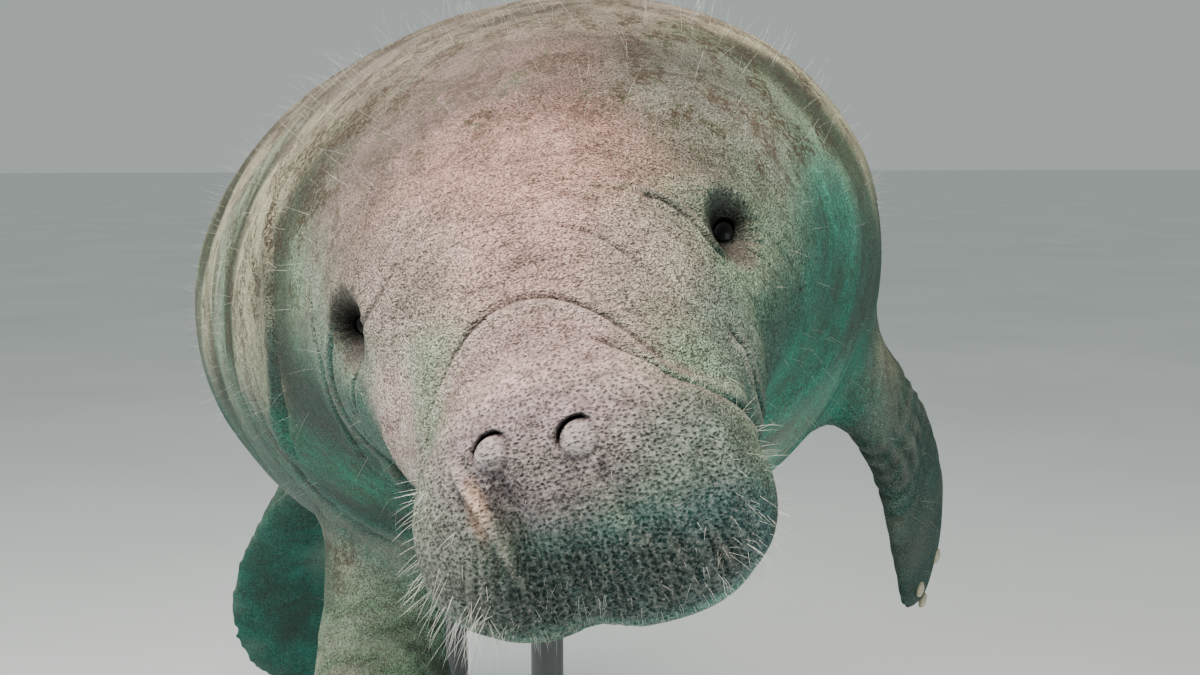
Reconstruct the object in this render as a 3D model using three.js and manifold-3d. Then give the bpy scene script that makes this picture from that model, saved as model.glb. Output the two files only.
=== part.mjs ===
import * as THREE from 'three';
import Module from 'manifold-3d';
import { mergeVertices } from 'three/examples/jsm/utils/BufferGeometryUtils.js';

const wasm = await Module();
wasm.setup();

// Florida manatee, a young adult 2.7 m long, swimming towards the viewer.
// Millimetres. +X is the animal's left, +Y runs to the tail, +Z is up.
// s is the distance along the spine from the tip of the snout.

// Overall sizes
const bodyLength = 2700;
const gap = 0.3;
const eyeStation = 175;
const eyesAbove = 42;
const eyeHeight = 1068;
const eyePlace = [-120, -905];

// Pose of the spine, in degrees at each station: [s, rise towards the tail, turn to the left]
const pitchTable = [
  [0, 21], [100, 24], [175, 20], [260, 9], [350, -1], [500, -7], [800, -5], [1100, -5],
  [1300, -6], [1550, -14], [1800, -28], [2000, -45], [2150, -59], [2400, -68], [2700, -71],
];
const yawTable = [
  [0, 13], [175, 13], [300, 12], [500, 10], [800, 4], [1200, -2], [1800, -5], [2700, -5],
];
const rollTable = [
  [0, 15], [250, 15], [450, 18], [650, 19], [1000, 14], [1500, 8], [2000, 5], [2700, 5],
];
const headTurn = { pitch: 16.4, yaw: 13, roll: 15 };

// Body sections: [s, half width, height above the spine, depth below it]
const sectionTable = [
  [0, 81, 63, 61], [50, 82, 66, 63], [80, 83, 71, 73], [115, 91, 80, 84], [145, 105, 94, 88],
  [175, 118, 106, 88], [215, 137, 118, 98], [260, 158, 131, 116], [320, 184, 150, 146],
  [400, 216, 175, 180], [500, 250, 204, 210], [600, 277, 228, 230], [700, 298, 246, 246],
  [800, 314, 261, 260], [1000, 335, 277, 276], [1200, 337, 278, 274], [1400, 314, 258, 254],
  [1600, 268, 218, 214], [1800, 214, 166, 164], [1950, 172, 122, 122], [2050, 152, 94, 92],
  [2150, 164, 66, 64], [2250, 206, 44, 42], [2350, 248, 30, 29], [2440, 268, 23, 22],
];
const paddleWidest = 2440;
const paddleRoundness = 2.3;
const paddleEdge = 9;

// The snout is drawn over to the left and down of the spine: [s, left, up]
const driftTable = [[0, 15, -11], [60, 15, -11], [110, 10, -5], [150, 3, 0], [190, 0, 0]];

// How square the sections are, above and below: [s, power above, power below]
const powerTable = [[0, 2.1, 3.0], [90, 2.1, 2.7], [175, 2.1, 2.3], [400, 2, 2], [2700, 2, 2]];

// Blunt front of the snout
const snoutDepth = 50;
const snoutPower = 2.6;

// Where the body is parted
const partStations = { muzzle: 98, head: 290, neck: 520, chest: 950, belly: 1480, stock: 2080 };

// Head features, in the head's own frame from the point midway between the eyes:
// x to the animal's left, y back, z up
const eye = { y: 0, z: 0, radius: 11.5, depth: 8.5, forward: 0.25 };
const lid = { across: 12.5, thick: 5.2, flatten: 0.82, lift: 3.2 };
const nostril = { x: 20.8, z: -15, radius: 9.4, squash: 0.72, depth: 3 };
const furrowX = -3;
const mouthCorner = { y: -80, z: -71 };
const mouthFront = { y: -150, z: -112 };

// Flippers
const flipper = {
  length: 395,
  chord: [[0, 46], [0.12, 50], [0.3, 58], [0.5, 67], [0.68, 68], [0.82, 60], [0.92, 44], [0.98, 24], [1, 0]],
  thick: [[0, 38], [0.15, 34], [0.3, 27], [0.5, 19], [0.75, 14], [0.92, 10], [1, 5]],
};
const flipperStation = 600;

// Stand
const stand = {
  width: 760, length: 1300, thick: 30, corner: 60, rod: 15, collar: 34, collarHigh: 12,
  front: 720, rear: 1390,
};

const radians = Math.PI / 180;

function smoothTable(table, at, column) {
  const last = table.length - 1;
  if (at <= table[0][0]) return table[0][column];
  if (at >= table[last][0]) return table[last][column];
  let row = 0;
  while (at > table[row + 1][0]) row += 1;
  const [x0, x1] = [table[row][0], table[row + 1][0]];
  const step = x1 - x0;
  const slope = (table[row + 1][column] - table[row][column]) / step;
  const before = row > 0
    ? (table[row][column] - table[row - 1][column]) / (x0 - table[row - 1][0]) : slope;
  const after = row + 2 <= last
    ? (table[row + 2][column] - table[row + 1][column]) / (table[row + 2][0] - x1) : slope;
  const m0 = before * slope <= 0 ? 0 : (2 * before * slope) / (before + slope);
  const m1 = after * slope <= 0 ? 0 : (2 * after * slope) / (after + slope);
  const t = (at - x0) / step;
  const t2 = t * t;
  const t3 = t2 * t;
  return (2 * t3 - 3 * t2 + 1) * table[row][column] + (t3 - 2 * t2 + t) * step * m0
    + (3 * t2 - 2 * t3) * table[row + 1][column] + (t3 - t2) * step * m1;
}

function axesFor(yaw, pitch, roll) {
  const [a, b, c] = [yaw * radians, pitch * radians, roll * radians];
  const along = new THREE.Vector3(Math.sin(a) * Math.cos(b), Math.cos(a) * Math.cos(b), Math.sin(b));
  const level = new THREE.Vector3(Math.cos(a), -Math.sin(a), 0);
  const lift = new THREE.Vector3().crossVectors(level, along);
  const side = level.clone().multiplyScalar(Math.cos(c)).addScaledVector(lift, Math.sin(c));
  const up = lift.clone().multiplyScalar(Math.cos(c)).addScaledVector(level, -Math.sin(c));
  return { along, side, up };
}

// The head's own frame
const headOrigin = new THREE.Vector3(eyePlace[0], eyePlace[1], eyeHeight);
const headAxes = axesFor(headTurn.yaw, headTurn.pitch, headTurn.roll);

function fromHead(x, y, z) {
  return headOrigin.clone().addScaledVector(headAxes.side, x)
    .addScaledVector(headAxes.along, y).addScaledVector(headAxes.up, z);
}

function toHead(point) {
  const offset = point.clone().sub(headOrigin);
  return new THREE.Vector3(
    offset.dot(headAxes.side), offset.dot(headAxes.along), offset.dot(headAxes.up));
}

// The spine, summed in short steps both ways from the station of the eyes
const spineStep = 5;
const spinePoints = [];

function spineAxes(s) {
  return axesFor(smoothTable(yawTable, s, 1), smoothTable(pitchTable, s, 1), smoothTable(rollTable, s, 1));
}

function layOutSpine() {
  const start = fromHead(0, 0, -eyesAbove);
  const first = Math.round(eyeStation / spineStep);
  const count = Math.round(bodyLength / spineStep);
  spinePoints[first] = start;
  for (let i = first; i < count; i += 1) {
    const { along } = spineAxes((i + 0.5) * spineStep);
    spinePoints[i + 1] = spinePoints[i].clone().addScaledVector(along, spineStep);
  }
  for (let i = first; i > 0; i -= 1) {
    const { along } = spineAxes((i - 0.5) * spineStep);
    spinePoints[i - 1] = spinePoints[i].clone().addScaledVector(along, -spineStep);
  }
}
layOutSpine();

function spineFrame(s) {
  const place = Math.min(Math.max(s / spineStep, 0), spinePoints.length - 1.001);
  const i = Math.floor(place);
  const origin = spinePoints[i].clone().lerp(spinePoints[i + 1], place - i);
  return { origin, ...spineAxes(s) };
}

function signedPower(value, power) {
  return Math.sign(value) * Math.pow(Math.abs(value), power);
}

function bump(distance, width) {
  const t = distance / width;
  return Math.exp(-t * t);
}

function smoothStep(low, high, value) {
  const t = Math.min(Math.max((value - low) / (high - low), 0), 1);
  return t * t * (3 - 2 * t);
}

// Folds, pads and dips of the face, as millimetres out along the surface normal
function headRelief(p) {
  const side = Math.abs(p.x);
  let out = 0;
  // deep crease over the snout, from one corner of the mouth to the other, and the fold behind it
  const overSnout = smoothStep(-74, -60, p.z);
  const arch = p.y + 74 + 0.0085 * Math.min(side, 66) ** 2;
  out -= 3.5 * bump(arch, 9) * overSnout;
  out += 3 * bump(arch - 16, 12) * overSnout;
  out += 1.5 * bump(arch + 16, 12) * overSnout;
  // deep fold that runs down to the corner of the mouth
  const toCorner = p.y + 112 - 0.62 * Math.max(-p.z - 26, 0) + 0.2 * Math.max(p.z + 26, 0);
  const cornerHeight = smoothStep(-84, -66, p.z) * (1 - smoothStep(-24, 6, p.z));
  out -= 5 * bump(toCorner, 10) * smoothStep(44, 66, side) * cornerHeight;
  // pads of the upper lip, parted by a furrow at the middle
  const fromFurrow = p.x - furrowX;
  const pads = bump(p.z + 90, 30) * smoothStep(-95, -125, p.y);
  out += 6 * pads * smoothStep(6, 34, Math.abs(fromFurrow));
  out -= 6 * bump(fromFurrow, 9) * smoothStep(-66, -98, p.z) * smoothStep(-110, -140, p.y);
  // cleft at the corner of the mouth and the line of the mouth
  const along = (p.y - mouthCorner.y) / (mouthFront.y - mouthCorner.y);
  const lineZ = mouthCorner.z + (mouthFront.z - mouthCorner.z) * Math.min(Math.max(along, 0), 1.15);
  const mouthRange = smoothStep(-0.12, 0.06, along) * (1 - smoothStep(1.1, 1.3, along));
  out -= 6 * bump(p.z - lineZ, 6) * mouthRange;
  out -= 4 * bump(p.y + 80, 9) * bump(p.z + 66, 14);
  // soft dips that run over the nostrils, and the low ridge between them
  out -= 3 * bump(side - nostril.x, 13) * bump(p.z - nostril.z - 15, 9) * smoothStep(-100, -130, p.y);
  out += 1.5 * bump(p.x, 7) * bump(p.z - nostril.z - 8, 16) * smoothStep(-100, -130, p.y);
  // hollow round each eye, brow over it and bag under it
  const eyeAway = Math.hypot(p.y - eye.y + 3, (p.z - eye.z) * 1.15);
  const flank = smoothStep(55, 85, side);
  out -= 5 * bump(eyeAway, 21) * flank;
  out += 3 * bump(Math.hypot(p.y - 2, p.z - 31) , 17) * flank;
  out += 3 * bump(Math.hypot(p.y + 4, p.z + 30), 16) * flank;
  // cheek fold behind the corner of the mouth
  out += 5 * bump(p.y + 52, 13) * bump(p.z + 55, 30) * flank;
  out -= 3.5 * bump(p.y + 30, 8) * bump(p.z + 50, 32) * flank;
  return out;
}

// Rolls of the neck and creases of the tail stock, by station and by the height round the section
function bodyRelief(s, angle) {
  const low = 0.5 - 0.5 * Math.sin(angle);
  let out = 0;
  out -= 5 * bump(s - 335, 11) * (0.35 + 0.65 * low);
  out += 4 * bump(s - 362, 16) * (0.35 + 0.65 * low);
  out -= 5 * bump(s - 398, 12) * (0.2 + 0.8 * low);
  out += 3 * bump(s - 425, 17) * (0.2 + 0.8 * low);
  out -= 3 * bump(s - 468, 13) * low;
  out -= 2.5 * bump(s - 1985, 12) * (0.4 + 0.6 * low);
  out -= 2 * bump(s - 2052, 10) * (0.4 + 0.6 * low);
  return out;
}

function sectionSize(s) {
  if (s <= paddleWidest) {
    return [1, 2, 3].map((column) => smoothTable(sectionTable, s, column));
  }
  const t = (s - paddleWidest) / (bodyLength - paddleWidest);
  const last = sectionTable[sectionTable.length - 1];
  const width = last[1] * Math.pow(Math.max(1 - Math.pow(t, paddleRoundness), 0), 1 / paddleRoundness);
  const high = last[2] + (paddleEdge - last[2]) * t;
  return [width, high, high - 1];
}

// A ring is { s, full, shift }: full shrinks the section towards the snout's tip, and shift
// moves the ring along the spine to leave the gap between two nodes
function basePoint(ring, angle) {
  const { origin, along, side, up } = spineFrame(ring.s);
  const [width, above, below] = sectionSize(ring.s);
  const upper = Math.sin(angle) >= 0;
  const power = 2 / smoothTable(powerTable, ring.s, upper ? 1 : 2);
  const x = width * ring.full * signedPower(Math.cos(angle), power) + smoothTable(driftTable, ring.s, 1);
  const z = (upper ? above : below) * ring.full * signedPower(Math.sin(angle), power)
    + smoothTable(driftTable, ring.s, 2);
  return origin.addScaledVector(side, x).addScaledVector(up, z).addScaledVector(along, ring.shift || 0);
}

function surfaceNormal(ring, angle) {
  const around = basePoint(ring, angle + 0.02).sub(basePoint(ring, angle - 0.02));
  let ahead = { ...ring, s: ring.s + 1 };
  let behind = { ...ring, s: Math.max(ring.s - 1, 0) };
  if (ring.full < 1) {
    ahead = snoutRing(Math.min(ring.full + 0.02, 1));
    behind = snoutRing(Math.max(ring.full - 0.02, 0.001));
  }
  const forward = basePoint(ahead, angle).sub(basePoint(behind, angle));
  return forward.cross(around).normalize();
}

function snoutRing(full) {
  const back = Math.pow(Math.max(1 - Math.pow(full, snoutPower), 0), 1 / snoutPower);
  return { s: snoutDepth * (1 - back), full };
}

function bodyPoint(ring, angle, grow) {
  const point = basePoint(ring, angle);
  if (ring.s > 2690) return point;
  const relief = ring.s < partStations.head - 5
    ? headRelief(toHead(point)) * (1 - smoothStep(250, 280, ring.s)) : bodyRelief(ring.s, angle);
  return point.addScaledVector(surfaceNormal(ring, angle), relief + grow);
}

// Place and outward normal on the head's surface where 'miss' is least
function placeOnHead(rings, fromAngle, toAngle, miss) {
  let best = { away: Infinity };
  for (const ring of rings) {
    for (let angle = fromAngle; angle <= toAngle; angle += 0.01) {
      const point = bodyPoint(ring, angle, 0);
      const away = miss(toHead(point));
      if (away < best.away) best = { away, point, normal: surfaceNormal(ring, angle) };
    }
  }
  return best;
}

// A closed loft over rings, with a fan at each end
function loft(rings, around, grow = 0) {
  const positions = [];
  const index = [];
  for (const ring of rings) {
    for (let j = 0; j < around; j += 1) {
      const point = bodyPoint(ring, (j / around) * Math.PI * 2, grow);
      positions.push(point.x, point.y, point.z);
    }
  }
  for (let k = 0; k < rings.length - 1; k += 1) {
    for (let j = 0; j < around; j += 1) {
      const a = k * around + j;
      const b = k * around + ((j + 1) % around);
      index.push(a, a + around, b, b, a + around, b + around);
    }
  }
  const ends = [[0, 1], [rings.length - 1, -1]];
  for (const [k, turn] of ends) {
    const { origin, along, side, up } = spineFrame(rings[k].s);
    const centre = origin.addScaledVector(along, (rings[k].shift || 0) - (rings[k].tip || 0))
      .addScaledVector(side, smoothTable(driftTable, rings[k].s, 1))
      .addScaledVector(up, smoothTable(driftTable, rings[k].s, 2));
    const hub = positions.length / 3;
    positions.push(centre.x, centre.y, centre.z);
    for (let j = 0; j < around; j += 1) {
      const a = k * around + j;
      const b = k * around + ((j + 1) % around);
      if (turn > 0) index.push(hub, a, b);
      else index.push(hub, b, a);
    }
  }
  const geometry = new THREE.BufferGeometry();
  geometry.setAttribute('position', new THREE.Float32BufferAttribute(positions, 3));
  geometry.setIndex(index);
  return geometry;
}

function ringsBetween(from, to, step) {
  const count = Math.max(Math.round((to - from) / step), 1);
  const rings = [];
  for (let i = 0; i <= count; i += 1) rings.push({ s: from + ((to - from) * i) / count, full: 1 });
  rings[0].shift = gap / 2;
  rings[count].shift = -gap / 2;
  return rings;
}

function snoutRings(count) {
  const rings = [];
  for (let i = 1; i <= count; i += 1) {
    rings.push(snoutRing(Math.sin(((i / count) * Math.PI) / 2) * 0.94 + 0.06));
  }
  rings[0].tip = 0.05;
  rings[count - 1] = { s: snoutDepth, full: 1 };
  return rings;
}

function paddleRings() {
  const rings = ringsBetween(partStations.stock, paddleWidest, 36);
  const steps = 10;
  for (let i = 1; i <= steps; i += 1) {
    const t = Math.sin((i / steps) * Math.PI * 0.5);
    rings.push({ s: paddleWidest + (bodyLength - 1.5 - paddleWidest) * t, full: 1 });
  }
  rings.forEach((ring, i) => { if (i > 0) ring.shift = 0; });
  return rings;
}

function snoutAndBack(to, count, step) {
  const front = snoutRings(count);
  const back = ringsBetween(snoutDepth, to, step).slice(1);
  return front.concat(back);
}

// Joins and cuts
function solidOf(geometry) {
  const plain = geometry.clone();
  plain.deleteAttribute('normal');
  plain.deleteAttribute('uv');
  const merged = mergeVertices(plain, 1e-4);
  return new wasm.Manifold(new wasm.Mesh({
    numProp: 3,
    vertProperties: new Float32Array(merged.attributes.position.array),
    triVerts: new Uint32Array(merged.index.array),
  }));
}

function largest(solid) {
  const pieces = solid.decompose();
  pieces.sort((a, b) => b.volume() - a.volume());
  return pieces[0];
}

function geometryOf(solid) {
  const mesh = largest(solid).getMesh();
  const geometry = new THREE.BufferGeometry();
  geometry.setAttribute('position', new THREE.Float32BufferAttribute(mesh.vertProperties, 3));
  geometry.setIndex(Array.from(mesh.triVerts));
  return geometry;
}

// Pose a shape made round its own origin: its z axis along 'axis', its x axis near 'near'
function posed(geometry, origin, axis, near, scale = [1, 1, 1]) {
  const z = axis.clone().normalize();
  const y = new THREE.Vector3().crossVectors(z, near).normalize();
  const x = new THREE.Vector3().crossVectors(y, z);
  const matrix = new THREE.Matrix4().makeBasis(x, y, z).setPosition(origin);
  const sized = geometry.clone().scale(scale[0], scale[1], scale[2]);
  return sized.applyMatrix4(matrix);
}

function headDirection(x, y, z) {
  return new THREE.Vector3().addScaledVector(headAxes.side, x)
    .addScaledVector(headAxes.along, y).addScaledVector(headAxes.up, z).normalize();
}

// Eyes, with the ring of lids that closes round each
function eyePlaceOn(sign) {
  const rings = [];
  for (let s = 120; s <= 220; s += 2) rings.push({ s, full: 1 });
  const from = sign > 0 ? -0.3 : Math.PI - 1.3;
  const { point, normal } = placeOnHead(rings, from, from + 1.6,
    (p) => Math.hypot(p.y - eye.y, p.z - eye.z) + (p.x * sign > 0 ? 0 : 100));
  const facing = normal.clone().addScaledVector(headAxes.along, -eye.forward).normalize();
  return { centre: point.clone().addScaledVector(normal, -eye.depth), facing };
}
const eyeSpots = { 1: eyePlaceOn(1), '-1': eyePlaceOn(-1) };

function eyeBall(sign, grow) {
  const { centre, facing } = eyeSpots[sign];
  return posed(new THREE.SphereGeometry(eye.radius + grow, 16, 12), centre, facing, headAxes.up);
}

function lidRing(sign) {
  const { centre, facing } = eyeSpots[sign];
  const ring = new THREE.TorusGeometry(lid.across, lid.thick, 9, 22);
  return posed(ring, centre.clone().addScaledVector(facing, lid.lift), facing, headAxes.up,
    [lid.flatten, 1, 1]);
}

// Closed nostril: a round plug in a socket that stands open above it as a crescent
function nostrilPlaceOn(sign) {
  const rings = [];
  for (let full = 0.2; full <= 0.99; full += 0.01) rings.push(snoutRing(full));
  return placeOnHead(rings, 0.1, Math.PI - 0.1, (p) => Math.hypot(p.x - sign * nostril.x, p.z - nostril.z));
}
const nostrilSpots = { 1: nostrilPlaceOn(1), '-1': nostrilPlaceOn(-1) };

function nostrilPlug(sign, grow, lift) {
  const facing = nostrilSpots[sign].normal;
  const centre = nostrilSpots[sign].point.clone()
    .addScaledVector(facing, -nostril.depth).addScaledVector(headAxes.up, lift);
  const ball = new THREE.SphereGeometry(nostril.radius + grow, 18, 12);
  return posed(ball, centre, facing, headAxes.side, [1, 1, nostril.squash]);
}

// Lower jaw, parted from the head along the line of the mouth
function jawBlock(grow) {
  const outline = [
    [mouthFront.y + 6 - grow, -200], [mouthFront.y + 6 - grow, mouthFront.z - 6 + grow],
    [mouthFront.y + 14, mouthFront.z + grow], [mouthCorner.y, mouthCorner.z + grow],
    [mouthCorner.y + 14 + grow, mouthCorner.z - 8 + grow], [-40 + grow, -112], [-34 + grow, -200],
  ];
  const shape = new THREE.Shape(outline.map(([y, z]) => new THREE.Vector2(y, z)));
  const block = new THREE.ExtrudeGeometry(shape, { depth: 280, bevelEnabled: false });
  block.translate(0, 0, -140);
  const matrix = new THREE.Matrix4().makeBasis(headAxes.along, headAxes.up, headAxes.side)
    .setPosition(headOrigin);
  return block.applyMatrix4(matrix);
}

// Flippers
function flipperLoft(root, tip, bend, chordRoot, chordTip) {
  const curve = new THREE.QuadraticBezierCurve3(root, root.clone().lerp(tip, 0.42).add(bend), tip);
  const around = 20;
  const steps = 16;
  const positions = [];
  const index = [];
  for (let k = 0; k <= steps; k += 1) {
    const t = k === steps ? 0.998 : Math.pow(k / steps, 0.92);
    const centre = curve.getPoint(t);
    const along = curve.getTangent(t);
    const chord = chordRoot.clone().lerp(chordTip, t);
    chord.addScaledVector(along, -chord.dot(along)).normalize();
    const flat = new THREE.Vector3().crossVectors(along, chord);
    const wide = smoothTable(flipper.chord, t, 1) + 0.6;
    const thick = smoothTable(flipper.thick, t, 1);
    const wrinkle = 1.6 * bump(t - 0.26, 0.018) + 1.3 * bump(t - 0.33, 0.016) + 1.2 * bump(t - 0.2, 0.018);
    for (let j = 0; j < around; j += 1) {
      const a = (j / around) * Math.PI * 2;
      const x = (wide - wrinkle) * Math.cos(a);
      const lead = 1 + 0.22 * Math.cos(a);
      const z = (thick - wrinkle) * signedPower(Math.sin(a), 0.9) * lead;
      const point = centre.clone().addScaledVector(chord, x).addScaledVector(flat, z);
      positions.push(point.x, point.y, point.z);
    }
  }
  for (let k = 0; k < steps; k += 1) {
    for (let j = 0; j < around; j += 1) {
      const a = k * around + j;
      const b = k * around + ((j + 1) % around);
      index.push(a, b, a + around, b, b + around, a + around);
    }
  }
  for (const k of [0, steps]) {
    const centre = curve.getPoint(k === 0 ? 0 : 1);
    const hub = positions.length / 3;
    positions.push(centre.x, centre.y, centre.z);
    for (let j = 0; j < around; j += 1) {
      const a = k * around + j;
      const b = k * around + ((j + 1) % around);
      if (k === 0) index.push(hub, b, a);
      else index.push(hub, a, b);
    }
  }
  const geometry = new THREE.BufferGeometry();
  geometry.setAttribute('position', new THREE.Float32BufferAttribute(positions, 3));
  geometry.setIndex(index);
  return { geometry, curve };
}

// Direction in the chest's frame at the flippers: out from the body, back, up
function chestDirection(sign, out, back, up) {
  const { side, along, up: lift } = spineFrame(flipperStation);
  return new THREE.Vector3().addScaledVector(side, sign * out)
    .addScaledVector(along, back).addScaledVector(lift, up);
}

function flipperRoot(sign) {
  const { origin } = spineFrame(flipperStation);
  const [width, , below] = sectionSize(flipperStation);
  const angle = -37 * radians;
  const reach = 0.84;
  return origin.add(chestDirection(sign, width * reach * Math.cos(angle), 0, below * reach * Math.sin(angle)));
}

const flipperPose = {
  left: {
    sign: 1, aim: [0.14, 0.6, -0.8], bend: [72, -36, 8],
    chordRoot: [0.5, 0.85, 0.1], chordTip: [0.72, 0.66, 0.3],
  },
  right: {
    sign: -1, aim: [0.2, -0.3, -0.93], bend: [34, 12, 0],
    chordRoot: [0.85, -0.4, 0.2], chordTip: [0.97, -0.22, 0.1],
  },
};

function buildFlipper(pose) {
  const root = flipperRoot(pose.sign);
  const aim = chestDirection(pose.sign, ...pose.aim).normalize();
  const tip = root.clone().addScaledVector(aim, flipper.length);
  return flipperLoft(root, tip, chestDirection(pose.sign, ...pose.bend),
    chestDirection(pose.sign, ...pose.chordRoot), chestDirection(pose.sign, ...pose.chordTip));
}

// Nails on the outer face of the blade, near its tip
const nail = { count: 3, long: 9, wide: 6.5, high: 3.4, from: 0.86, to: 0.95 };

function nailShape(pose, curve, i, grow) {
  const t = nail.from + ((nail.to - nail.from) * (i % 2 === 0 ? 0 : 1));
  const centre = curve.getPoint(t);
  const along = curve.getTangent(t);
  const chord = chestDirection(pose.sign, ...pose.chordRoot)
    .lerp(chestDirection(pose.sign, ...pose.chordTip), t);
  chord.addScaledVector(along, -chord.dot(along)).normalize();
  let flat = new THREE.Vector3().crossVectors(along, chord);
  if (flat.dot(chestDirection(pose.sign, 1, 0, 0)) < 0) flat = flat.multiplyScalar(-1);
  const thick = smoothTable(flipper.thick, t, 1);
  centre.addScaledVector(chord, (i - (nail.count - 1) / 2) * 22).addScaledVector(flat, thick * 0.86);
  const ball = new THREE.SphereGeometry(1, 10, 6);
  return posed(ball, centre, flat, along,
    [nail.long + grow, nail.wide + grow, nail.high + grow]);
}

// Stand
function roundedPlate() {
  const [w, l, r] = [stand.width / 2, stand.length / 2, stand.corner];
  const shape = new THREE.Shape();
  shape.moveTo(-w + r, -l);
  shape.lineTo(w - r, -l);
  shape.absarc(w - r, -l + r, r, -Math.PI / 2, 0, false);
  shape.lineTo(w, l - r);
  shape.absarc(w - r, l - r, r, 0, Math.PI / 2, false);
  shape.lineTo(-w + r, l);
  shape.absarc(-w + r, l - r, r, Math.PI / 2, Math.PI, false);
  shape.lineTo(-w, -l + r);
  shape.absarc(-w + r, -l + r, r, Math.PI, Math.PI * 1.5, false);
  return new THREE.ExtrudeGeometry(shape, { depth: stand.thick, bevelEnabled: false, curveSegments: 8 });
}

function rodShape(s) {
  const { origin } = spineFrame(s);
  const bottom = stand.thick + gap;
  const profile = [
    [0, bottom], [stand.collar, bottom], [stand.collar, bottom + stand.collarHigh],
    [stand.rod, bottom + stand.collarHigh + 6], [stand.rod, origin.z - 60], [0, origin.z - 60],
  ].map(([r, z]) => new THREE.Vector2(r, z));
  const rod = new THREE.LatheGeometry(profile, 24);
  rod.rotateX(Math.PI / 2);
  rod.translate(origin.x, origin.y, 0);
  return rod;
}

// Assembly
const materials = {
  skin: new THREE.MeshStandardMaterial({ name: 'skin', color: 0x8c8377, roughness: 0.6 }),
  skinDark: new THREE.MeshStandardMaterial({ name: 'skin_underside', color: 0x4f6059, roughness: 0.6 }),
  plug: new THREE.MeshStandardMaterial({ name: 'nostril_skin', color: 0x97928f, roughness: 0.55 }),
  eye: new THREE.MeshStandardMaterial({ name: 'eye', color: 0x15110f, roughness: 0.12 }),
  nail: new THREE.MeshStandardMaterial({ name: 'nail', color: 0x9a8f7d, roughness: 0.45 }),
  stand: new THREE.MeshStandardMaterial({ name: 'stand_metal', color: 0x2c2e30, roughness: 0.5, metalness: 0.4 }),
};

const group = new THREE.Group();
group.name = 'manatee';

function addNode(name, geometry, material) {
  const mesh = new THREE.Mesh(geometry, material);
  mesh.name = name;
  group.add(mesh);
}

const headAround = 50;
const bodyAround = 40;

function buildHead() {
  const snout = solidOf(loft([...snoutAndBack(partStations.muzzle, 12, 9.5)], headAround));
  const skull = solidOf(loft(ringsBetween(partStations.muzzle, partStations.head, 9.5), headAround));
  const whole = solidOf(loft([...snoutAndBack(partStations.head, 12, 9.5)], headAround));
  const grownJaw = solidOf(jawBlock(gap));
  const jaw = whole.intersect(solidOf(jawBlock(0)));
  let muzzle = snout.subtract(grownJaw);
  let head = skull.subtract(grownJaw);
  for (const sign of [1, -1]) {
    muzzle = muzzle.subtract(solidOf(nostrilPlug(sign, gap, 0)))
      .subtract(solidOf(nostrilPlug(sign, 0.9, 2.6)));
    head = head.add(solidOf(lidRing(sign)));
  }
  for (const sign of [1, -1]) head = head.subtract(solidOf(eyeBall(sign, gap)));
  addNode('muzzle', geometryOf(muzzle), materials.skin);
  addNode('head', geometryOf(head), materials.skin);
  addNode('lower_jaw', geometryOf(jaw), materials.skinDark);
  for (const [side, sign] of [['left', 1], ['right', -1]]) {
    addNode(`eye_${side}`, eyeBall(sign, 0), materials.eye);
    addNode(`nostril_${side}`, nostrilPlug(sign, 0, 0), materials.plug);
  }
}

function buildBody() {
  const cuts = partStations;
  addNode('neck', loft(ringsBetween(cuts.head, cuts.neck, 14), bodyAround), materials.skin);
  addNode('chest', loft(ringsBetween(cuts.neck, cuts.chest, 48), bodyAround), materials.skin);
  addNode('belly', loft(ringsBetween(cuts.chest, cuts.belly, 58), bodyAround), materials.skin);
  addNode('tail_stock', loft(ringsBetween(cuts.belly, cuts.stock, 34), bodyAround), materials.skin);
  addNode('tail_paddle', loft(paddleRings(), bodyAround), materials.skinDark);
}

function grownTrunk() {
  const cuts = partStations;
  const rings = ringsBetween(cuts.head, cuts.neck, 14)
    .concat(ringsBetween(cuts.neck, cuts.chest, 48).slice(1), ringsBetween(cuts.chest, cuts.belly, 58).slice(1));
  rings.forEach((ring) => { ring.shift = 0; });
  return solidOf(loft(rings, bodyAround, gap));
}

function buildLimbs(trunk) {
  for (const side of ['left', 'right']) {
    const pose = flipperPose[side];
    const { geometry, curve } = buildFlipper(pose);
    let blade = solidOf(geometry).subtract(trunk);
    for (let i = 0; i < nail.count; i += 1) {
      blade = blade.subtract(solidOf(nailShape(pose, curve, i, gap)));
      addNode(`nail_${side}_${i + 1}`, nailShape(pose, curve, i, 0), materials.nail);
    }
    addNode(`flipper_${side}`, geometryOf(blade), materials.skinDark);
  }
}

function buildStand(trunk) {
  addNode('stand_base', roundedPlate(), materials.stand);
  addNode('stand_rod_front', geometryOf(solidOf(rodShape(stand.front)).subtract(trunk)), materials.stand);
  addNode('stand_rod_rear', geometryOf(solidOf(rodShape(stand.rear)).subtract(trunk)), materials.stand);
}

buildHead();
buildBody();
const trunk = grownTrunk();
buildLimbs(trunk);
buildStand(trunk);

export default group;
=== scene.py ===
import bpy
import bmesh
import math
import random

import numpy as np
from mathutils import Matrix, Vector, noise
from mathutils.bvhtree import BVHTree


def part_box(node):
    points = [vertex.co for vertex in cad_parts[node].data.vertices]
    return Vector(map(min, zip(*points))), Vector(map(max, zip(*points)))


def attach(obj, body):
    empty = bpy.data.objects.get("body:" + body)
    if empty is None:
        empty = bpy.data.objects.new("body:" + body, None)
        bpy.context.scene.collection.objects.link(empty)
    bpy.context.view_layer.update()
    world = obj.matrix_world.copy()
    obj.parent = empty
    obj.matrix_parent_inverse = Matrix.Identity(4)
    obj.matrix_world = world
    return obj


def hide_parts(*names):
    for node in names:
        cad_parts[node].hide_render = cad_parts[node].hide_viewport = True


# A life-size Florida manatee on a display stand. Metres, +X its left, +Y to the tail, +Z up.
# Places on the head are in millimetres in the head's own frame: x to its left, y back, z up,
# from the point midway between the eyes.

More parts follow.
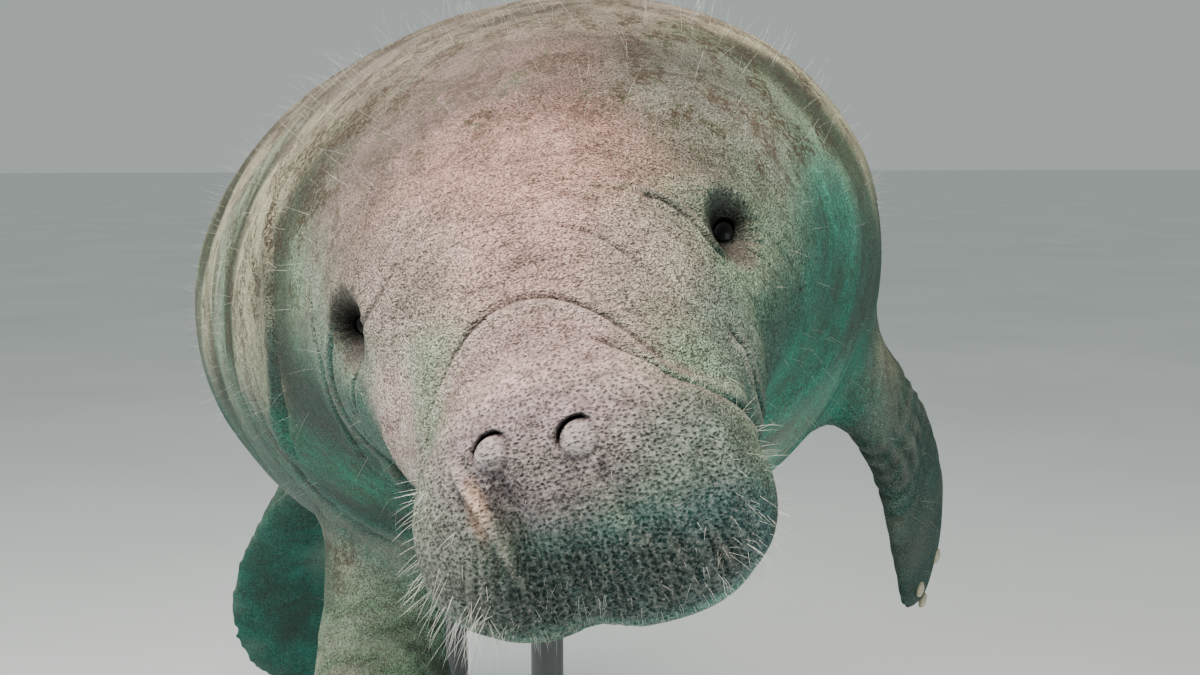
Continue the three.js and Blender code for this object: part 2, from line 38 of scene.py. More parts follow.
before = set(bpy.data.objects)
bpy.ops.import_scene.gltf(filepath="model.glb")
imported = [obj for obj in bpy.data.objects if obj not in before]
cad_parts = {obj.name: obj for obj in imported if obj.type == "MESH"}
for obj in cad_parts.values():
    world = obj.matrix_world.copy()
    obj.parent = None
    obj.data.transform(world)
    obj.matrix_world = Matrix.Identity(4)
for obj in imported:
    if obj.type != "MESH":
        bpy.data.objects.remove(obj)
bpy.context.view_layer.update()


def report(text):
    print("manatee:", text)


# Frames of the head and the limbs
headTurn = {"pitch": 16.4, "yaw": 13.0, "roll": 15.0}


def nodeCentre(name):
    low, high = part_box(name)
    return (Vector(low) + Vector(high)) / 2


def turnedAxes(yaw, pitch, roll):
    a, b, c = (math.radians(v) for v in (yaw, pitch, roll))
    along = Vector((math.sin(a) * math.cos(b), math.cos(a) * math.cos(b), math.sin(b)))
    level = Vector((math.cos(a), -math.sin(a), 0.0))
    lift = level.cross(along)
    return level * math.cos(c) + lift * math.sin(c), along, lift * math.cos(c) - level * math.sin(c)


eyeCentres = {"left": nodeCentre("eye_left"), "right": nodeCentre("eye_right")}
plugCentres = {"left": nodeCentre("nostril_left"), "right": nodeCentre("nostril_right")}
headSide, headAlong, headUp = turnedAxes(headTurn["yaw"], headTurn["pitch"], headTurn["roll"])
headAxes = np.array([headSide, headAlong, headUp])

# the eyeballs' midpoint lies a little off the point midway between their openings
headOrigin = (eyeCentres["left"] + eyeCentres["right"]) / 2
headOrigin -= (headSide * 1.8 + headAlong * 3.8 - headUp * 3.0) / 1000


def fromHead(x, y, z):
    return headOrigin + (headSide * x + headAlong * y + headUp * z) / 1000


def toHead(points):
    return (np.asarray(points) - np.array(headOrigin)) @ headAxes.T * 1000


# Small tools for meshes
def addObject(name, mesh):
    piece = bpy.data.objects.new(name, mesh)
    bpy.context.scene.collection.objects.link(piece)
    return piece


def meshOf(name, shape):
    mesh = bpy.data.meshes.new(name)
    shape.to_mesh(mesh)
    shape.free()
    return mesh


def readPoints(mesh):
    points = np.empty(len(mesh.vertices) * 3)
    mesh.vertices.foreach_get("co", points)
    return points.reshape(-1, 3)


def writePoints(mesh, points):
    mesh.vertices.foreach_set("co", np.ascontiguousarray(points).ravel())
    mesh.update()


def readNormals(mesh):
    normals = np.empty(len(mesh.vertices) * 3)
    mesh.vertex_normals.foreach_get("vector", normals)
    return normals.reshape(-1, 3)


def readEdges(mesh):
    edges = np.empty(len(mesh.edges) * 2, dtype=np.int64)
    mesh.edges.foreach_get("vertices", edges)
    return edges.reshape(-1, 2)


# Moves each point towards the mean of its neighbours, by its own strength
def smoothPoints(points, edges, strength, rounds):
    count = len(points)
    first, second = edges[:, 0], edges[:, 1]
    degree = np.bincount(first, minlength=count) + np.bincount(second, minlength=count)
    degree = np.maximum(degree, 1)[:, None]
    for _ in range(rounds):
        total = np.empty_like(points)
        for axis in range(3):
            total[:, axis] = (np.bincount(first, points[second, axis], count)
                              + np.bincount(second, points[first, axis], count))
        points = points + (total / degree - points) * strength[:, None]
    return points


# One closed mesh round copies of these CAD nodes, each grown to close the gaps
def remeshedCopy(name, nodes, grow, voxel):
    shape = bmesh.new()
    for node in nodes:
        part = bmesh.new()
        part.from_mesh(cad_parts[node].data)
        bmesh.ops.remove_doubles(part, verts=part.verts, dist=2e-6)
        part.normal_update()
        for vert in part.verts:
            vert.co += vert.normal * grow
        copy = meshOf("copy", part)
        shape.from_mesh(copy)
        bpy.data.meshes.remove(copy)
    piece = addObject(name, meshOf(name, shape))
    remesh = piece.modifiers.new("voxels", "REMESH")
    remesh.mode = "VOXEL"
    remesh.voxel_size = voxel
    graph = bpy.context.evaluated_depsgraph_get()
    result = bpy.data.meshes.new_from_object(piece.evaluated_get(graph))
    bpy.data.objects.remove(piece)
    return result


def treeOf(mesh):
    shape = bmesh.new()
    shape.from_mesh(mesh)
    tree = BVHTree.FromBMesh(shape)
    shape.free()
    return tree


def smoothStep(low, high, value):
    t = np.clip((np.asarray(value, dtype=float) - low) / (high - low), 0.0, 1.0)
    return t * t * (3 - 2 * t)


def bump(distance, width):
    return np.exp(-(np.asarray(distance) / width) ** 2)


# Smooth unevenness, about 'size' metres from swell to swell
def swell(points, size, seed):
    shift = Vector((seed * 3.1, seed * 1.7, seed * 5.3))
    return np.array([noise.noise(Vector(p) / size + shift) for p in points])


# Root, tip and direction of a flipper, from the ends of its solid
def limbLine(side):
    points = readPoints(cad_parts[f"flipper_{side}"].data)
    height = points[:, 2]
    low, high = height.min(), height.max()
    tip = points[height < low + 0.03].mean(0)
    root = points[height > high - 0.05].mean(0)
    length = np.linalg.norm(tip - root)
    return root, (tip - root) / length, length


limbs = {side: limbLine(side) for side in ("left", "right")}


# Share of the way from root to tip, and how much a place belongs to the limb
def alongLimb(points, side):
    root, way, length = limbs[side]
    low, high = (np.array(v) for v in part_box(f"flipper_{side}"))
    inside = np.all((points > low - 0.006) & (points < high + 0.006), axis=1)
    share = (points - root) @ way / length
    return share, inside * smoothStep(0.0, 0.22, share)


# Skin, grown over all the solids of flesh and finest round the eyes and nostrils. Its rims are
# where the flesh is thin, as in the paddle and the flippers: thicknesses in metres.
skin = {
    "flesh": ["muzzle", "head", "lower_jaw", "neck", "chest", "belly", "tail_stock", "tail_paddle",
              "flipper_left", "flipper_right", "nostril_left", "nostril_right"],
    "fill": ["eye_left", "eye_right"],
    "target": ["muzzle", "head", "lower_jaw", "neck", "nostril_left", "nostril_right",
               "eye_left", "eye_right"],
    "voxel": 0.0121, "fineVoxel": 0.003, "grow": 0.0005,
    "rounds": 16, "fineRounds": 14, "rimRounds": 30,
    "rimFrom": 0.12, "rimTo": 0.05, "rimSplit": 0.03,
}


# How thick the flesh is under each point
def thicknessAt(points, normals, tree):
    result = np.full(len(points), 0.5)
    for i, (point, normal) in enumerate(zip(points, normals)):
        inward = Vector(normal) * -1
        hit = tree.ray_cast(Vector(point) + inward * 0.001, inward, 0.5)
        if hit[0] is not None:
            result[i] = hit[3]
    return result


def project(points, weight, tree):
    moved = points.copy()
    for i in np.nonzero(weight > 0)[0]:
        hit = tree.find_nearest(Vector(points[i]))
        if hit[0] is not None:
            moved[i] = points[i] + (np.array(hit[0]) - points[i]) * weight[i]
    return moved


def rimShare(mesh):
    thick = thicknessAt(readPoints(mesh), readNormals(mesh), treeOf(mesh))
    return thick, smoothStep(skin["rimFrom"], skin["rimTo"], thick)


def buildBase():
    mesh = remeshedCopy("base", skin["flesh"] + skin["fill"], skin["grow"], skin["voxel"])
    thick, share = rimShare(mesh)
    writePoints(mesh, smoothPoints(readPoints(mesh), readEdges(mesh), 0.5 - 0.22 * share, skin["rounds"]))
    # the rims are made finer and smoothed there and back, so that they keep their width
    shape = bmesh.new()
    shape.from_mesh(mesh)
    rims = set()
    for face in shape.faces:
        if min(thick[vert.index] for vert in face.verts) < skin["rimSplit"]:
            rims.update(face.edges)
    bmesh.ops.subdivide_edges(shape, edges=list(rims), cuts=1, use_grid_fill=True)
    mesh = meshOf("base", shape)
    points, edges = readPoints(mesh), readEdges(mesh)
    _, share = rimShare(mesh)
    for _ in range(skin["rimRounds"]):
        points = smoothPoints(points, edges, 0.6 * share, 1)
        points = smoothPoints(points, edges, -0.6 * share, 1)
    writePoints(mesh, smoothPoints(points, edges, 0.3 * share, 2))
    report(f"base of {len(mesh.vertices)} points")
    return mesh


# Halves the edges of the faces that 'chosen' picks by their places on the head
def refine(shape, chosen):
    picked = chosen(toHead([face.calc_center_median() for face in shape.faces]))
    edges = set()
    for face, pick in zip(shape.faces, picked):
        if pick:
            edges.update(face.edges)
    bmesh.ops.subdivide_edges(shape, edges=list(edges), cuts=1, use_grid_fill=True)


def awayFrom(places, spots):
    spots = np.array(spots)
    return np.min([np.linalg.norm(places - spot, axis=1) for spot in spots], axis=0)


eyeSpots = toHead(list(eyeCentres.values()))
plugSpots = toHead(list(plugCentres.values()))

# Folds of the face: places, width, depth, the roll beside the groove, and how far it leans to one
# side. A depth below zero is a ridge. Left and right in these names are a viewer's, from in front.
faceFolds = {
    "over the snout": ([(-66, -106, -46), (-60, -103, -26), (-42, -90, 1), (-22, -76, 14), (-1, -73, 19),
                        (19, -79, 18), (42, -95, 11), (61, -111, -8), (68, -116, -20)], 2.4, 3.6, 0.6, 0.6),
    "to the right corner, upper": ([(24, -100, 8), (44, -112, -1), (56, -118, -9), (67, -122, -18),
                                    (77, -118, -34)], 1.7, 2.6, 0.4, 0.2),
    "to the right corner, lower": ([(60, -121, -10), (70, -122, -22), (79, -117, -36), (86, -106, -50),
                                    (91, -88, -66), (92, -72, -78)], 4.2, 6.4, 0.3, 0.2),
    "to the left corner": ([(-58, -104, -40), (-68, -98, -56), (-76, -88, -68), (-82, -76, -76)],
                           2.8, 5.0, 0.4, 0.0),
    "mouth": ([(92, -72, -76), (86, -92, -86), (78, -112, -98), (62, -134, -112), (34, -146, -120),
               (0, -149, -122), (-28, -146, -120), (-50, -134, -112), (-64, -112, -98), (-76, -92, -86),
               (-84, -74, -76)], 3.0, 5.5, 0.3, 0.0),
    "left brow": ([(-46, -50, 31), (-58, -46, 25), (-68, -42, 20), (-80, -39, 8), (-88, -36, -6)],
                  1.2, 1.2, 0.35, 0.5),
    "left brow, upper": ([(-50, -18, 52), (-60, -23, 41), (-72, -29, 27), (-89, -24, 10), (-96, -20, -2),
                          (-100, -18, -18)], 1.4, 2.0, 0.4, 0.5),
    "left of the eye": ([(-101, -20, -14), (-106, -14, -26), (-108, -8, -38), (-110, 0, -54)],
                        1.5, 2.2, 0.35, 0.0),
    "right brow": ([(14, -42, 46), (25, -46, 43), (44, -52, 35), (60, -64, 21), (75, -61, 12)],
                   1.3, 1.8, 0.35, 0.3),
    "right lower lid": ([(36, -22, 54), (48, -21, 50), (66, -21, 42), (78, -21, 33), (87, -24, 22),
                         (92, -29, 11), (96, -31, 4), (101, -26, -5), (106, -20, -9)],
                        1.4, 2.6, 0.5, -0.5),
    "right lower lid, outer": ([(66, -34, 30), (78, -38, 20), (88, -42, 6), (94, -44, -8)],
                               1.2, 1.2, 0.35, 0.0),
    "behind the right eye": ([(110, 6, 8), (112, 3, -6), (117, 2, -17), (123, 5, -30)], 1.3, 1.0, 0.3, 0.0),
    "right cheek": ([(92, -66, -20), (96, -67, -32), (95, -69, -51), (96, -64, -68), (92, -54, -86)],
                    2.6, 4.6, 0.5, 0.4),
    "right cheek, outer": ([(104, -40, -30), (108, -36, -50), (108, -30, -70), (104, -22, -92)],
                           2.2, 1.6, 0.4, 0.0),
    "left cheek": ([(-96, -52, -30), (-100, -52, -50), (-98, -48, -70), (-92, -42, -90)], 2.2, 3.4, 0.4, 0.4),
    "left jowl": ([(-116, 8, 14), (-123, 20, -14), (-134, 37, -61), (-130, 72, -115), (-141, 124, -172)],
                  3.0, 4.6, 0.4, 0.6),
    "left jowl, inner": ([(-112, 2, -30), (-118, 14, -62), (-116, 36, -100), (-112, 62, -130)],
                         2.2, 3.0, 0.35, 0.3),
    "right jowl": ([(120, 14, 10), (128, 22, -20), (136, 40, -62), (134, 74, -112), (142, 124, -168)],
                   2.4, 1.0, 0.3, -0.4),
    "behind the left jowl": ([(-190, 274, 28), (-195, 225, 10), (-190, 173, -3), (-194, 159, -23),
                              (-202, 155, -50), (-214, 166, -82), (-228, 192, -123), (-243, 228, -167),
                              (-253, 265, -218)],
                             6.0, 6.0, 0.4, 0.5),
    "left jowl, outer": ([(-126, 68, 27), (-134, 58, 8), (-137, 47, -12), (-139, 42, -40), (-155, 91, -104),
                          (-164, 129, -156)], 3.0, 3.0, 0.35, 0.4),
    "left brow, inner": ([(-45, -25, 47), (-63, -38, 28), (-73, -49, 5), (-78, -60, -20), (-77, -72, -44)],
                         1.3, 1.0, 0.35, 0.4),
    "pale ridge of the lip": ([(-40, -146, -18), (-39, -150, -22), (-36, -157, -27), (-32, -164, -34),
                               (-28, -169, -44), (-26, -171, -54), (-24, -173, -66), (-22, -172, -80)],
                              2.6, -3.4, 0.3, 0.0),
    "hollow beside the ridge": ([(-22, -160, -16), (-21, -168, -30), (-19, -170, -43), (-17, -172, -58),
                                 (-15, -172, -74), (-14, -170, -88), (-12, -163, -103)],
                                10.0, 8.0, 0.12, 0.0),
    "right lobe": ([(26, -168, -24), (30, -171, -34), (33, -174, -48), (39, -175, -59), (46, -176, -70)],
                   6.0, 2.4, 0.3, 0.0),
    "scar": ([(-4, -101, 10), (5, -103, 9), (17, -108, 6)], 1.2, 0.6, 0.9, 0.0),
}


def headLine(places):
    return [fromHead(*place) for place in places]


# Where the skin is made finer, step by step, in millimetres on the head. Folds that are shallower
# or broader than these need no finer skin.
fineness = {"back": 95, "faceBack": -28, "faceLow": -130, "discBack": -128, "discLow": -118, "discHigh": -34,
            "folds": 4.4, "shallow": 1.7, "broad": 6.5, "eyes": (56, 38, 19), "plugs": (21, 15)}


# Whether places lie within so many millimetres of the chief folds
def nearFolds(places, reach):
    close = np.zeros(len(places), dtype=bool)
    for line, width, depth, _, _ in faceFolds.values():
        if depth < fineness["shallow"] or width > fineness["broad"]:
            continue
        dense = toHead(densify(rounded(headLine(line)), 0.004))
        low, high = dense.min(0) - reach, dense.max(0) + reach
        near = np.nonzero(np.all((places > low) & (places < high), axis=1))[0]
        if len(near):
            away = np.linalg.norm(places[near][:, None, :] - dense[None], axis=2).min(1)
            close[near[away < reach]] = True
    return close


def densify(line, step):
    points = [line[0]]
    for start, end in zip(line, line[1:]):
        count = max(int((end - start).length / step), 1)
        points += [start.lerp(end, i / count) for i in range(1, count + 1)]
    return points


# Cuts the corners of a line, so that a few places give a smooth curve
def rounded(line, rounds=2):
    for _ in range(rounds):
        cut = [line[0]]
        for start, end in zip(line, line[1:]):
            cut += [start.lerp(end, 0.25), start.lerp(end, 0.75)]
        line = cut + [line[-1]]
    return line


def wholeHead(places):
    return places[:, 1] < fineness["back"]


def faceAndSockets(places):
    face = (places[:, 1] < fineness["faceBack"]) & (places[:, 2] > fineness["faceLow"])
    return face | (awayFrom(places, eyeSpots) < fineness["eyes"][0])


def discAndFolds(places):
    disc = (places[:, 1] < fineness["discBack"]) & (places[:, 2] > fineness["discLow"])
    disc &= places[:, 2] < fineness["discHigh"]
    near = awayFrom(places, eyeSpots) < fineness["eyes"][1]
    near |= awayFrom(places, plugSpots) < fineness["plugs"][0]
    return disc | near | nearFolds(places, fineness["folds"])


def lidsAndPlugs(places):
    near = awayFrom(places, eyeSpots) < fineness["eyes"][2]
    return near | (awayFrom(places, plugSpots) < fineness["plugs"][1])


def buildSkinMesh():
    shape = bmesh.new()
    shape.from_mesh(buildBase())
    fine = remeshedCopy("fine", skin["target"], skin["grow"], skin["fineVoxel"])
    finePoints = readPoints(fine)
    writePoints(fine, smoothPoints(finePoints, readEdges(fine), np.full(len(finePoints), 0.5),
                                   skin["fineRounds"]))
    tree = treeOf(fine)
    for chosen in (wholeHead, faceAndSockets, discAndFolds, lidsAndPlugs):
        refine(shape, chosen)
    mesh = meshOf("skin", shape)
    points = readPoints(mesh)
    weight = 1 - smoothStep(50, 100, toHead(points)[:, 1])
    edges = readEdges(mesh)
    for _ in range(3):
        points = project(points, weight, tree)
        points = smoothPoints(points, edges, 0.5 * smoothStep(0, 0.3, weight), 2)
    points = project(points, weight, tree)
    writePoints(mesh, smoothPoints(points, edges, 0.4 * smoothStep(0, 0.3, weight), 1))
    triangles = sum(len(face.vertices) - 2 for face in mesh.polygons)
    report(f"skin of {len(mesh.vertices)} points, {triangles} triangles")
    return mesh


# Height in mm of a furrow along a line over the skin: a groove with a soft roll on each side of
# it, or more on one side
def crease(points, tree, line, width, depth, lip, side=0.0, ends=0.26):
    dense = densify(rounded([Vector(p) for p in line]), max(width * 0.0007, 0.0012))
    snapped = [tree.find_nearest(p) for p in dense]
    path = np.array([hit[0] for hit in snapped])
    facing = np.array([hit[1] for hit in snapped])
    reach = width * 0.001 * 5
    low, high = path.min(0) - reach, path.max(0) + reach
    near = np.nonzero(np.all((points > low) & (points < high), axis=1))[0]
    heights = np.zeros(len(points))
    if len(near) == 0 or len(path) < 3:
        return heights
    steps = np.linspace(0, 1, len(path))
    across = np.cross(np.gradient(path, axis=0), facing)
    across /= np.linalg.norm(across, axis=1)[:, None] + 1e-12
    batch = 4000000  # distances worked out at once, to spare memory
    for chunk in np.array_split(near, max(len(near) * len(path) // batch, 1)):
        away = np.linalg.norm(points[chunk][:, None, :] - path[None], axis=2)
        nearest = away.argmin(1)
        distance = away[np.arange(len(chunk)), nearest] * 1000
        hand = np.tanh(((points[chunk] - path[nearest]) * across[nearest]).sum(1) * 1000 / width)
        t = steps[nearest]
        taper = smoothStep(0, ends, t) * smoothStep(0, ends, 1 - t)
        roll = bump(distance - 1.9 * width, 1.1 * width) * (1 + side * hand)
        heights[chunk] = depth * taper * (lip * roll - bump(distance, width * 0.75))
    return heights


# Wrinkles and furrows, in millimetres; a pair is the least and the most
eyeWrinkle = {"count": 15, "from": (15, 20), "length": (10, 26), "bend": 0.35, "width": 1.3,
              "depth": (0.35, 0.85)}
crossWrinkle = {"count": 26, "from": -66, "step": 4.4, "middle": 46, "half": (14, 36), "width": 2.0,
                "depth": (0.4, 0.9)}
lipFurrow = {"count": 34, "from": -46, "step": 3.7, "middle": 12, "top": -50, "width": 1.3,
             "depth": (0.6, 1.3)}


# Short furrows that run out from each eye like spokes
def eyeWrinkles(rng):
    lines = []
    for spot in eyeSpots:
        for i in range(eyeWrinkle["count"]):
            turn = 2 * math.pi * (i + rng.uniform(-0.3, 0.3)) / eyeWrinkle["count"]
            inner = rng.uniform(*eyeWrinkle["from"])
            outer = inner + rng.uniform(*eyeWrinkle["length"])
            bend = rng.uniform(-eyeWrinkle["bend"], eyeWrinkle["bend"])
            places = []
            for t in (0.0, 0.35, 0.7, 1.0):
                reach = inner + (outer - inner) * t
                angle = turn + bend * t
                places.append((spot[0], spot[1] + math.cos(angle) * reach, spot[2] + math.sin(angle) * reach))
            lines.append((headLine(places), eyeWrinkle["width"], rng.uniform(*eyeWrinkle["depth"])))
    return lines


# Wrinkles across the bridge of the snout and the brow
def crossWrinkles(rng):
    lines = []
    for i in range(crossWrinkle["count"]):
        back = crossWrinkle["from"] + crossWrinkle["step"] * i + rng.uniform(-2, 2)
        middle = rng.uniform(-crossWrinkle["middle"], crossWrinkle["middle"])
        half = rng.uniform(*crossWrinkle["half"])
        places = []
        for t in (-1, -0.4, 0.3, 1):
            x = middle + half * t
            places.append((x, back - 0.0035 * x * x + rng.uniform(-2, 2), 60 + 0.35 * back - 0.003 * x * x))
        lines.append((headLine(places), crossWrinkle["width"], rng.uniform(*crossWrinkle["depth"])))
    return lines


# Upright furrows that fan down the disc of the snout to the lip
def lipFurrows(rng):
    lines = []
    for i in range(lipFurrow["count"]):
        x = lipFurrow["from"] + lipFurrow["step"] * i + rng.uniform(-1, 1)
        top = lipFurrow["top"] + rng.uniform(-10, 8)
        lean = (x - lipFurrow["middle"]) / 40
        places = [(x, -180, top), (x + lean * 3, -180, top - 18), (x + lean * 6, -174, top - 38),
                  (x + lean * 8, -164, -112)]
        lines.append((headLine(places), lipFurrow["width"], rng.uniform(*lipFurrow["depth"])))
    return lines


# Rolls round the throat and neck: back from the eyes, from and to angle, depth
neckRolls = [
    (196, -150, -20, 2.4), (252, -210, -30, 3.0), (318, -200, -20, 2.4), (392, -195, -25, 2.0),
]
neckRing = {"radius": 260, "centre": -70, "steps": 12, "wave": 7, "lean": 26, "width": 7.0}


def neckLine(back, fromAngle, toAngle, rng):
    places = []
    for i in range(neckRing["steps"] + 1):
        angle = math.radians(fromAngle + (toAngle - fromAngle) * i / neckRing["steps"])
        wave = rng.uniform(-neckRing["wave"], neckRing["wave"])
        places.append((neckRing["radius"] * math.cos(angle), back + wave - neckRing["lean"] * math.sin(angle),
                       neckRing["centre"] + neckRing["radius"] * math.sin(angle)))
    return headLine(places)


# Turns a place round an eye or nostril into height, distance and angle, with the head's up as zero
def roundSpot(points, centre, facing):
    offset = (points - np.array(centre)) * 1000
    facing = np.array(facing)
    height = offset @ facing
    flat = offset - height[:, None] * facing
    up = np.array(headUp) - (np.array(headUp) @ facing) * facing
    up /= np.linalg.norm(up)
    sideways = np.cross(up, facing)
    return offset, height, np.linalg.norm(flat, axis=1), np.arctan2(flat @ sideways, flat @ up)


# Lids close over the eyeball and leave an opening, under a hooded brow. The ball sits 'sunk' below
# the solid's, and the opening is wider towards the back.
eyeShape = {"ball": 10.6, "sunk": 9.0, "wide": 11.0, "high": 9.2, "from": 12.0, "to": 25.0,
            "rise": {"left": 4.6, "right": 1.0}, "turn": 0.5, "lid": 0.9, "inside": 4.5,
            "brow": 2.6, "browOut": 24, "lidFold": 1.3, "foldOut": 6.5}
nostrilShape = {"radius": 8.6, "slit": 3.8, "turn": -0.55, "swell": 1.7, "rim": 1.1, "dip": 1.4}


def eyeFacing(tree, side):
    outward = headSide * (1 if side == "left" else -1)
    normal = tree.find_nearest(eyeCentres[side] + outward * 0.02)[1].normalized()
    return (normal - headAlong * eyeShape["turn"]).normalized()


def ballCentre(side, facing):
    return eyeCentres[side] - facing * eyeShape["sunk"] / 1000 + headUp * eyeShape["rise"][side] / 1000


def closeLids(points, side, facing):
    offset, height, across, angle = roundSpot(points, ballCentre(side, facing), facing)
    near = (across < 36) & (height > -8) & (height < 34)
    high, wide = eyeShape["high"], eyeShape["wide"]
    edge = 1 / np.sqrt((np.sin(angle) / wide) ** 2 + (np.cos(angle) / high) ** 2)
    hood = 0.5 + 0.5 * np.cos(angle)
    distance = np.linalg.norm(offset, axis=1) + 1e-9
    shell = eyeShape["ball"] + eyeShape["lid"] + (0.3 + 0.7 * hood) * bump(across - edge - 2.4, 2.4)
    opening = 1 - smoothStep(edge - 0.9, edge + 0.2, across)
    shell = shell + (eyeShape["ball"] - eyeShape["inside"] - shell) * opening
    weight = (1 - smoothStep(eyeShape["from"], eyeShape["to"], across)) * near
    moved = offset + (offset / distance[:, None] * shell[:, None] - offset) * weight[:, None]
    brow = eyeShape["brow"] * bump(across - eyeShape["browOut"], 8) * smoothStep(0.1, 0.9, hood)
    fold = -eyeShape["lidFold"] * bump(across - edge - eyeShape["foldOut"], 1.3)
    lift = (brow + fold) * near
    # the painted shade of the socket, wider above the eye, under the brow
    shade = 0.5 + 0.5 * np.cos(angle + 0.8)
    oval = across * np.sqrt((0.72 * np.sin(angle)) ** 2 + np.cos(angle) ** 2)
    halo = 0.97 * (1 - smoothStep(edge - 1, edge + 9 + 9 * shade, oval)) ** 1.2
    pit = np.maximum(1 - smoothStep(edge + 0.5, edge + 5 + 3 * shade, oval), halo) * near
    return points + (moved - offset + np.array(facing) * lift[:, None]) / 1000, pit, np.minimum(lift, 0)


# A round plug in its socket, with a crescent slit open over it that is painted dark as shade
def closeNostril(points, side, tree):
    spot = plugCentres[side]
    facing = tree.find_nearest(spot - headAlong * 0.02 + headUp * 0.004)[1].normalized()
    _, height, across, angle = roundSpot(points, spot, facing)
    near = (across < 26) & (height > -14) & (height < 24)
    crescent = smoothStep(0.0, 0.9, np.cos(angle - nostrilShape["turn"]))
    radius = nostrilShape["radius"]
    groove = (0.45 + nostrilShape["slit"] * crescent) * bump(across - radius - 0.5 - 0.4 * crescent,
                                                             0.8 + 0.5 * crescent)
    out = nostrilShape["swell"] * np.sqrt(np.clip(1 - (across / (radius + 0.5)) ** 2, 0, 1)) - groove
    out += ((0.2 + nostrilShape["rim"] * crescent) * bump(across - radius - 4.0, 2.2)
            - nostrilShape["dip"] * crescent * bump(across - radius - 11, 4.5))
    plug = (1 - smoothStep(radius - 2.5, radius + 0.5, across)) * near
    return points + np.array(facing) * (out * near)[:, None] / 1000, groove * near, plug


# Folds across each flipper's wrist: share of the way to its tip, depth
wristFolds = [(0.16, 1.6), (0.22, 2.2), (0.27, 2.0), (0.31, 1.4), (0.37, 1.0), (0.44, 0.7)]
broadFold = 4.5  # folds wider than this shape the skin but leave no dark line


def foldSkin(mesh):
    rng = random.Random(4)
    points, tree = readPoints(mesh), treeOf(mesh)
    normals = readNormals(mesh)
    heights, broad = np.zeros(len(points)), np.zeros(len(points))
    for places, width, depth, lip, side in faceFolds.values():
        target = broad if width > broadFold else heights
        target += crease(points, tree, headLine(places), width, depth, lip, side)
    for places, width, depth in eyeWrinkles(rng) + crossWrinkles(rng):
        heights += crease(points, tree, places, width, depth, 0.4)
    for places, width, depth in lipFurrows(rng):
        heights += crease(points, tree, places, width, depth, 0.5, 0.0, 0.3)
    for back, fromAngle, toAngle, depth in neckRolls:
        places = neckLine(back, fromAngle, toAngle, rng)
        heights += crease(points, tree, places, neckRing["width"], depth, 0.5)
    wobble = swell(points, 0.05, 3)
    for side in limbs:
        share, limb = alongLimb(points, side)
        for place, depth in wristFolds:
            fold = share - place + wobble * 0.02
            heights += limb * depth * (0.6 * bump(fold - 0.022, 0.014) - bump(fold, 0.01))
    uneven = swell(points, 0.13, 1) * 3.0 + swell(points, 0.04, 2) * 0.8
    heights += uneven * (0.25 + 0.75 * smoothStep(-40, 120, toHead(points)[:, 1]))
    moved = points + normals * (heights + broad)[:, None] / 1000
    # crease depth and roll height, which the hide paints as shade in the creases and as highlight on the
    # rolls
    fields = {"fold": np.clip(-heights / 2.6, 0, 1), "roll": np.clip(heights / 3.0, 0, 1),
              "pit": np.zeros(len(points)), "plug": np.zeros(len(points))}
    for side in ("left", "right"):
        moved, pit, hollow = closeLids(moved, side, eyeFacing(tree, side))
        # painted shade for the eye pits and the hollows of the lid folds
        fields["pit"] = np.maximum(fields["pit"], pit)
        fields["fold"] = np.maximum(fields["fold"], np.clip(-hollow / 2.5, 0, 1))
        moved, groove, plug = closeNostril(moved, side, tree)
        # painted shade in the nostril's crescent slit
        fields["pit"] = np.maximum(fields["pit"], np.clip((groove - 0.7) / 2.6, 0, 1))
        fields["plug"] = np.maximum(fields["plug"], plug)
    writePoints(mesh, moved)
    return fields


def tint(code):
    values = [int(code[i:i + 2], 16) / 255 for i in (1, 3, 5)]
    linear = [v / 12.92 if v <= 0.04045 else ((v + 0.055) / 1.055) ** 2.4 for v in values]
    return (*linear, 1.0)


# Ground colours of the hide, laid over one another: colour, middle and half sizes on the head, share. Besides
# the hide's own tones they hold painted light and shade, marked below.
hideToneAndShadeZones = [
    ("#725c56", (0, 100, 75), (150, 120, 90), 0.95),
    ("#b68e82", (-5, 5, 60), (88, 66, 60), 0.9),
    ("#c19b93", (10, -60, 36), (64, 36, 36), 0.85),
    ("#7b8274", (112, 115, 45), (60, 100, 80), 0.7),
    ("#887369", (-82, 25, 42), (45, 60, 60), 0.6),
    # painted light: the left cheek paler, where light falls on it
    ("#d6c0b3", (-78, -62, -34), (32, 46, 42), 0.9),
    ("#a8958b", (-62, -32, 28), (44, 46, 42), 0.85),
    ("#a3978b", (66, -52, 18), (36, 40, 30), 0.75),
    ("#a78b87", (0, -108, 6), (62, 36, 30), 0.9),
    ("#6a5b60", (0, -156, -20), (72, 46, 34), 0.9),
    # painted shade: teal and dark greens on the right cheek, the lower sides of the muzzle, under the snout
    # and jaw, and on the throat and lower neck
    ("#6c7a72", (94, -66, -26), (26, 34, 32), 0.6),
    ("#52504a", (-50, -150, -66), (34, 50, 44), 0.8),
    ("#404d4a", (66, -150, -44), (38, 40, 32), 0.8),
    ("#1d4d50", (50, -165, -84), (64, 50, 34), 0.9),
    ("#032e2b", (16, -170, -84), (68, 60, 31), 0.95),
    ("#2c4f42", (-60, -120, -112), (60, 60, 26), 0.7),
    ("#0f987e", (128, 100, -140), (60, 100, 90), 0.85),
    ("#3a9b84", (168, 120, -66), (46, 90, 60), 0.85),
    ("#129a80", (130, 260, -260), (90, 130, 90), 0.85),
    ("#178a6c", (-205, 165, -160), (60, 80, 56), 0.85),
    # painted shade: darker grey round each eye socket
    ("#5f5953", (100, 0, 6), (30, 26, 26), 0.6),
    ("#5f5951", (-98, 0, 0), (30, 26, 26), 0.6),
    ("#c39a80", (-32, -164, -36), (5, 12, 15), 0.5),
]
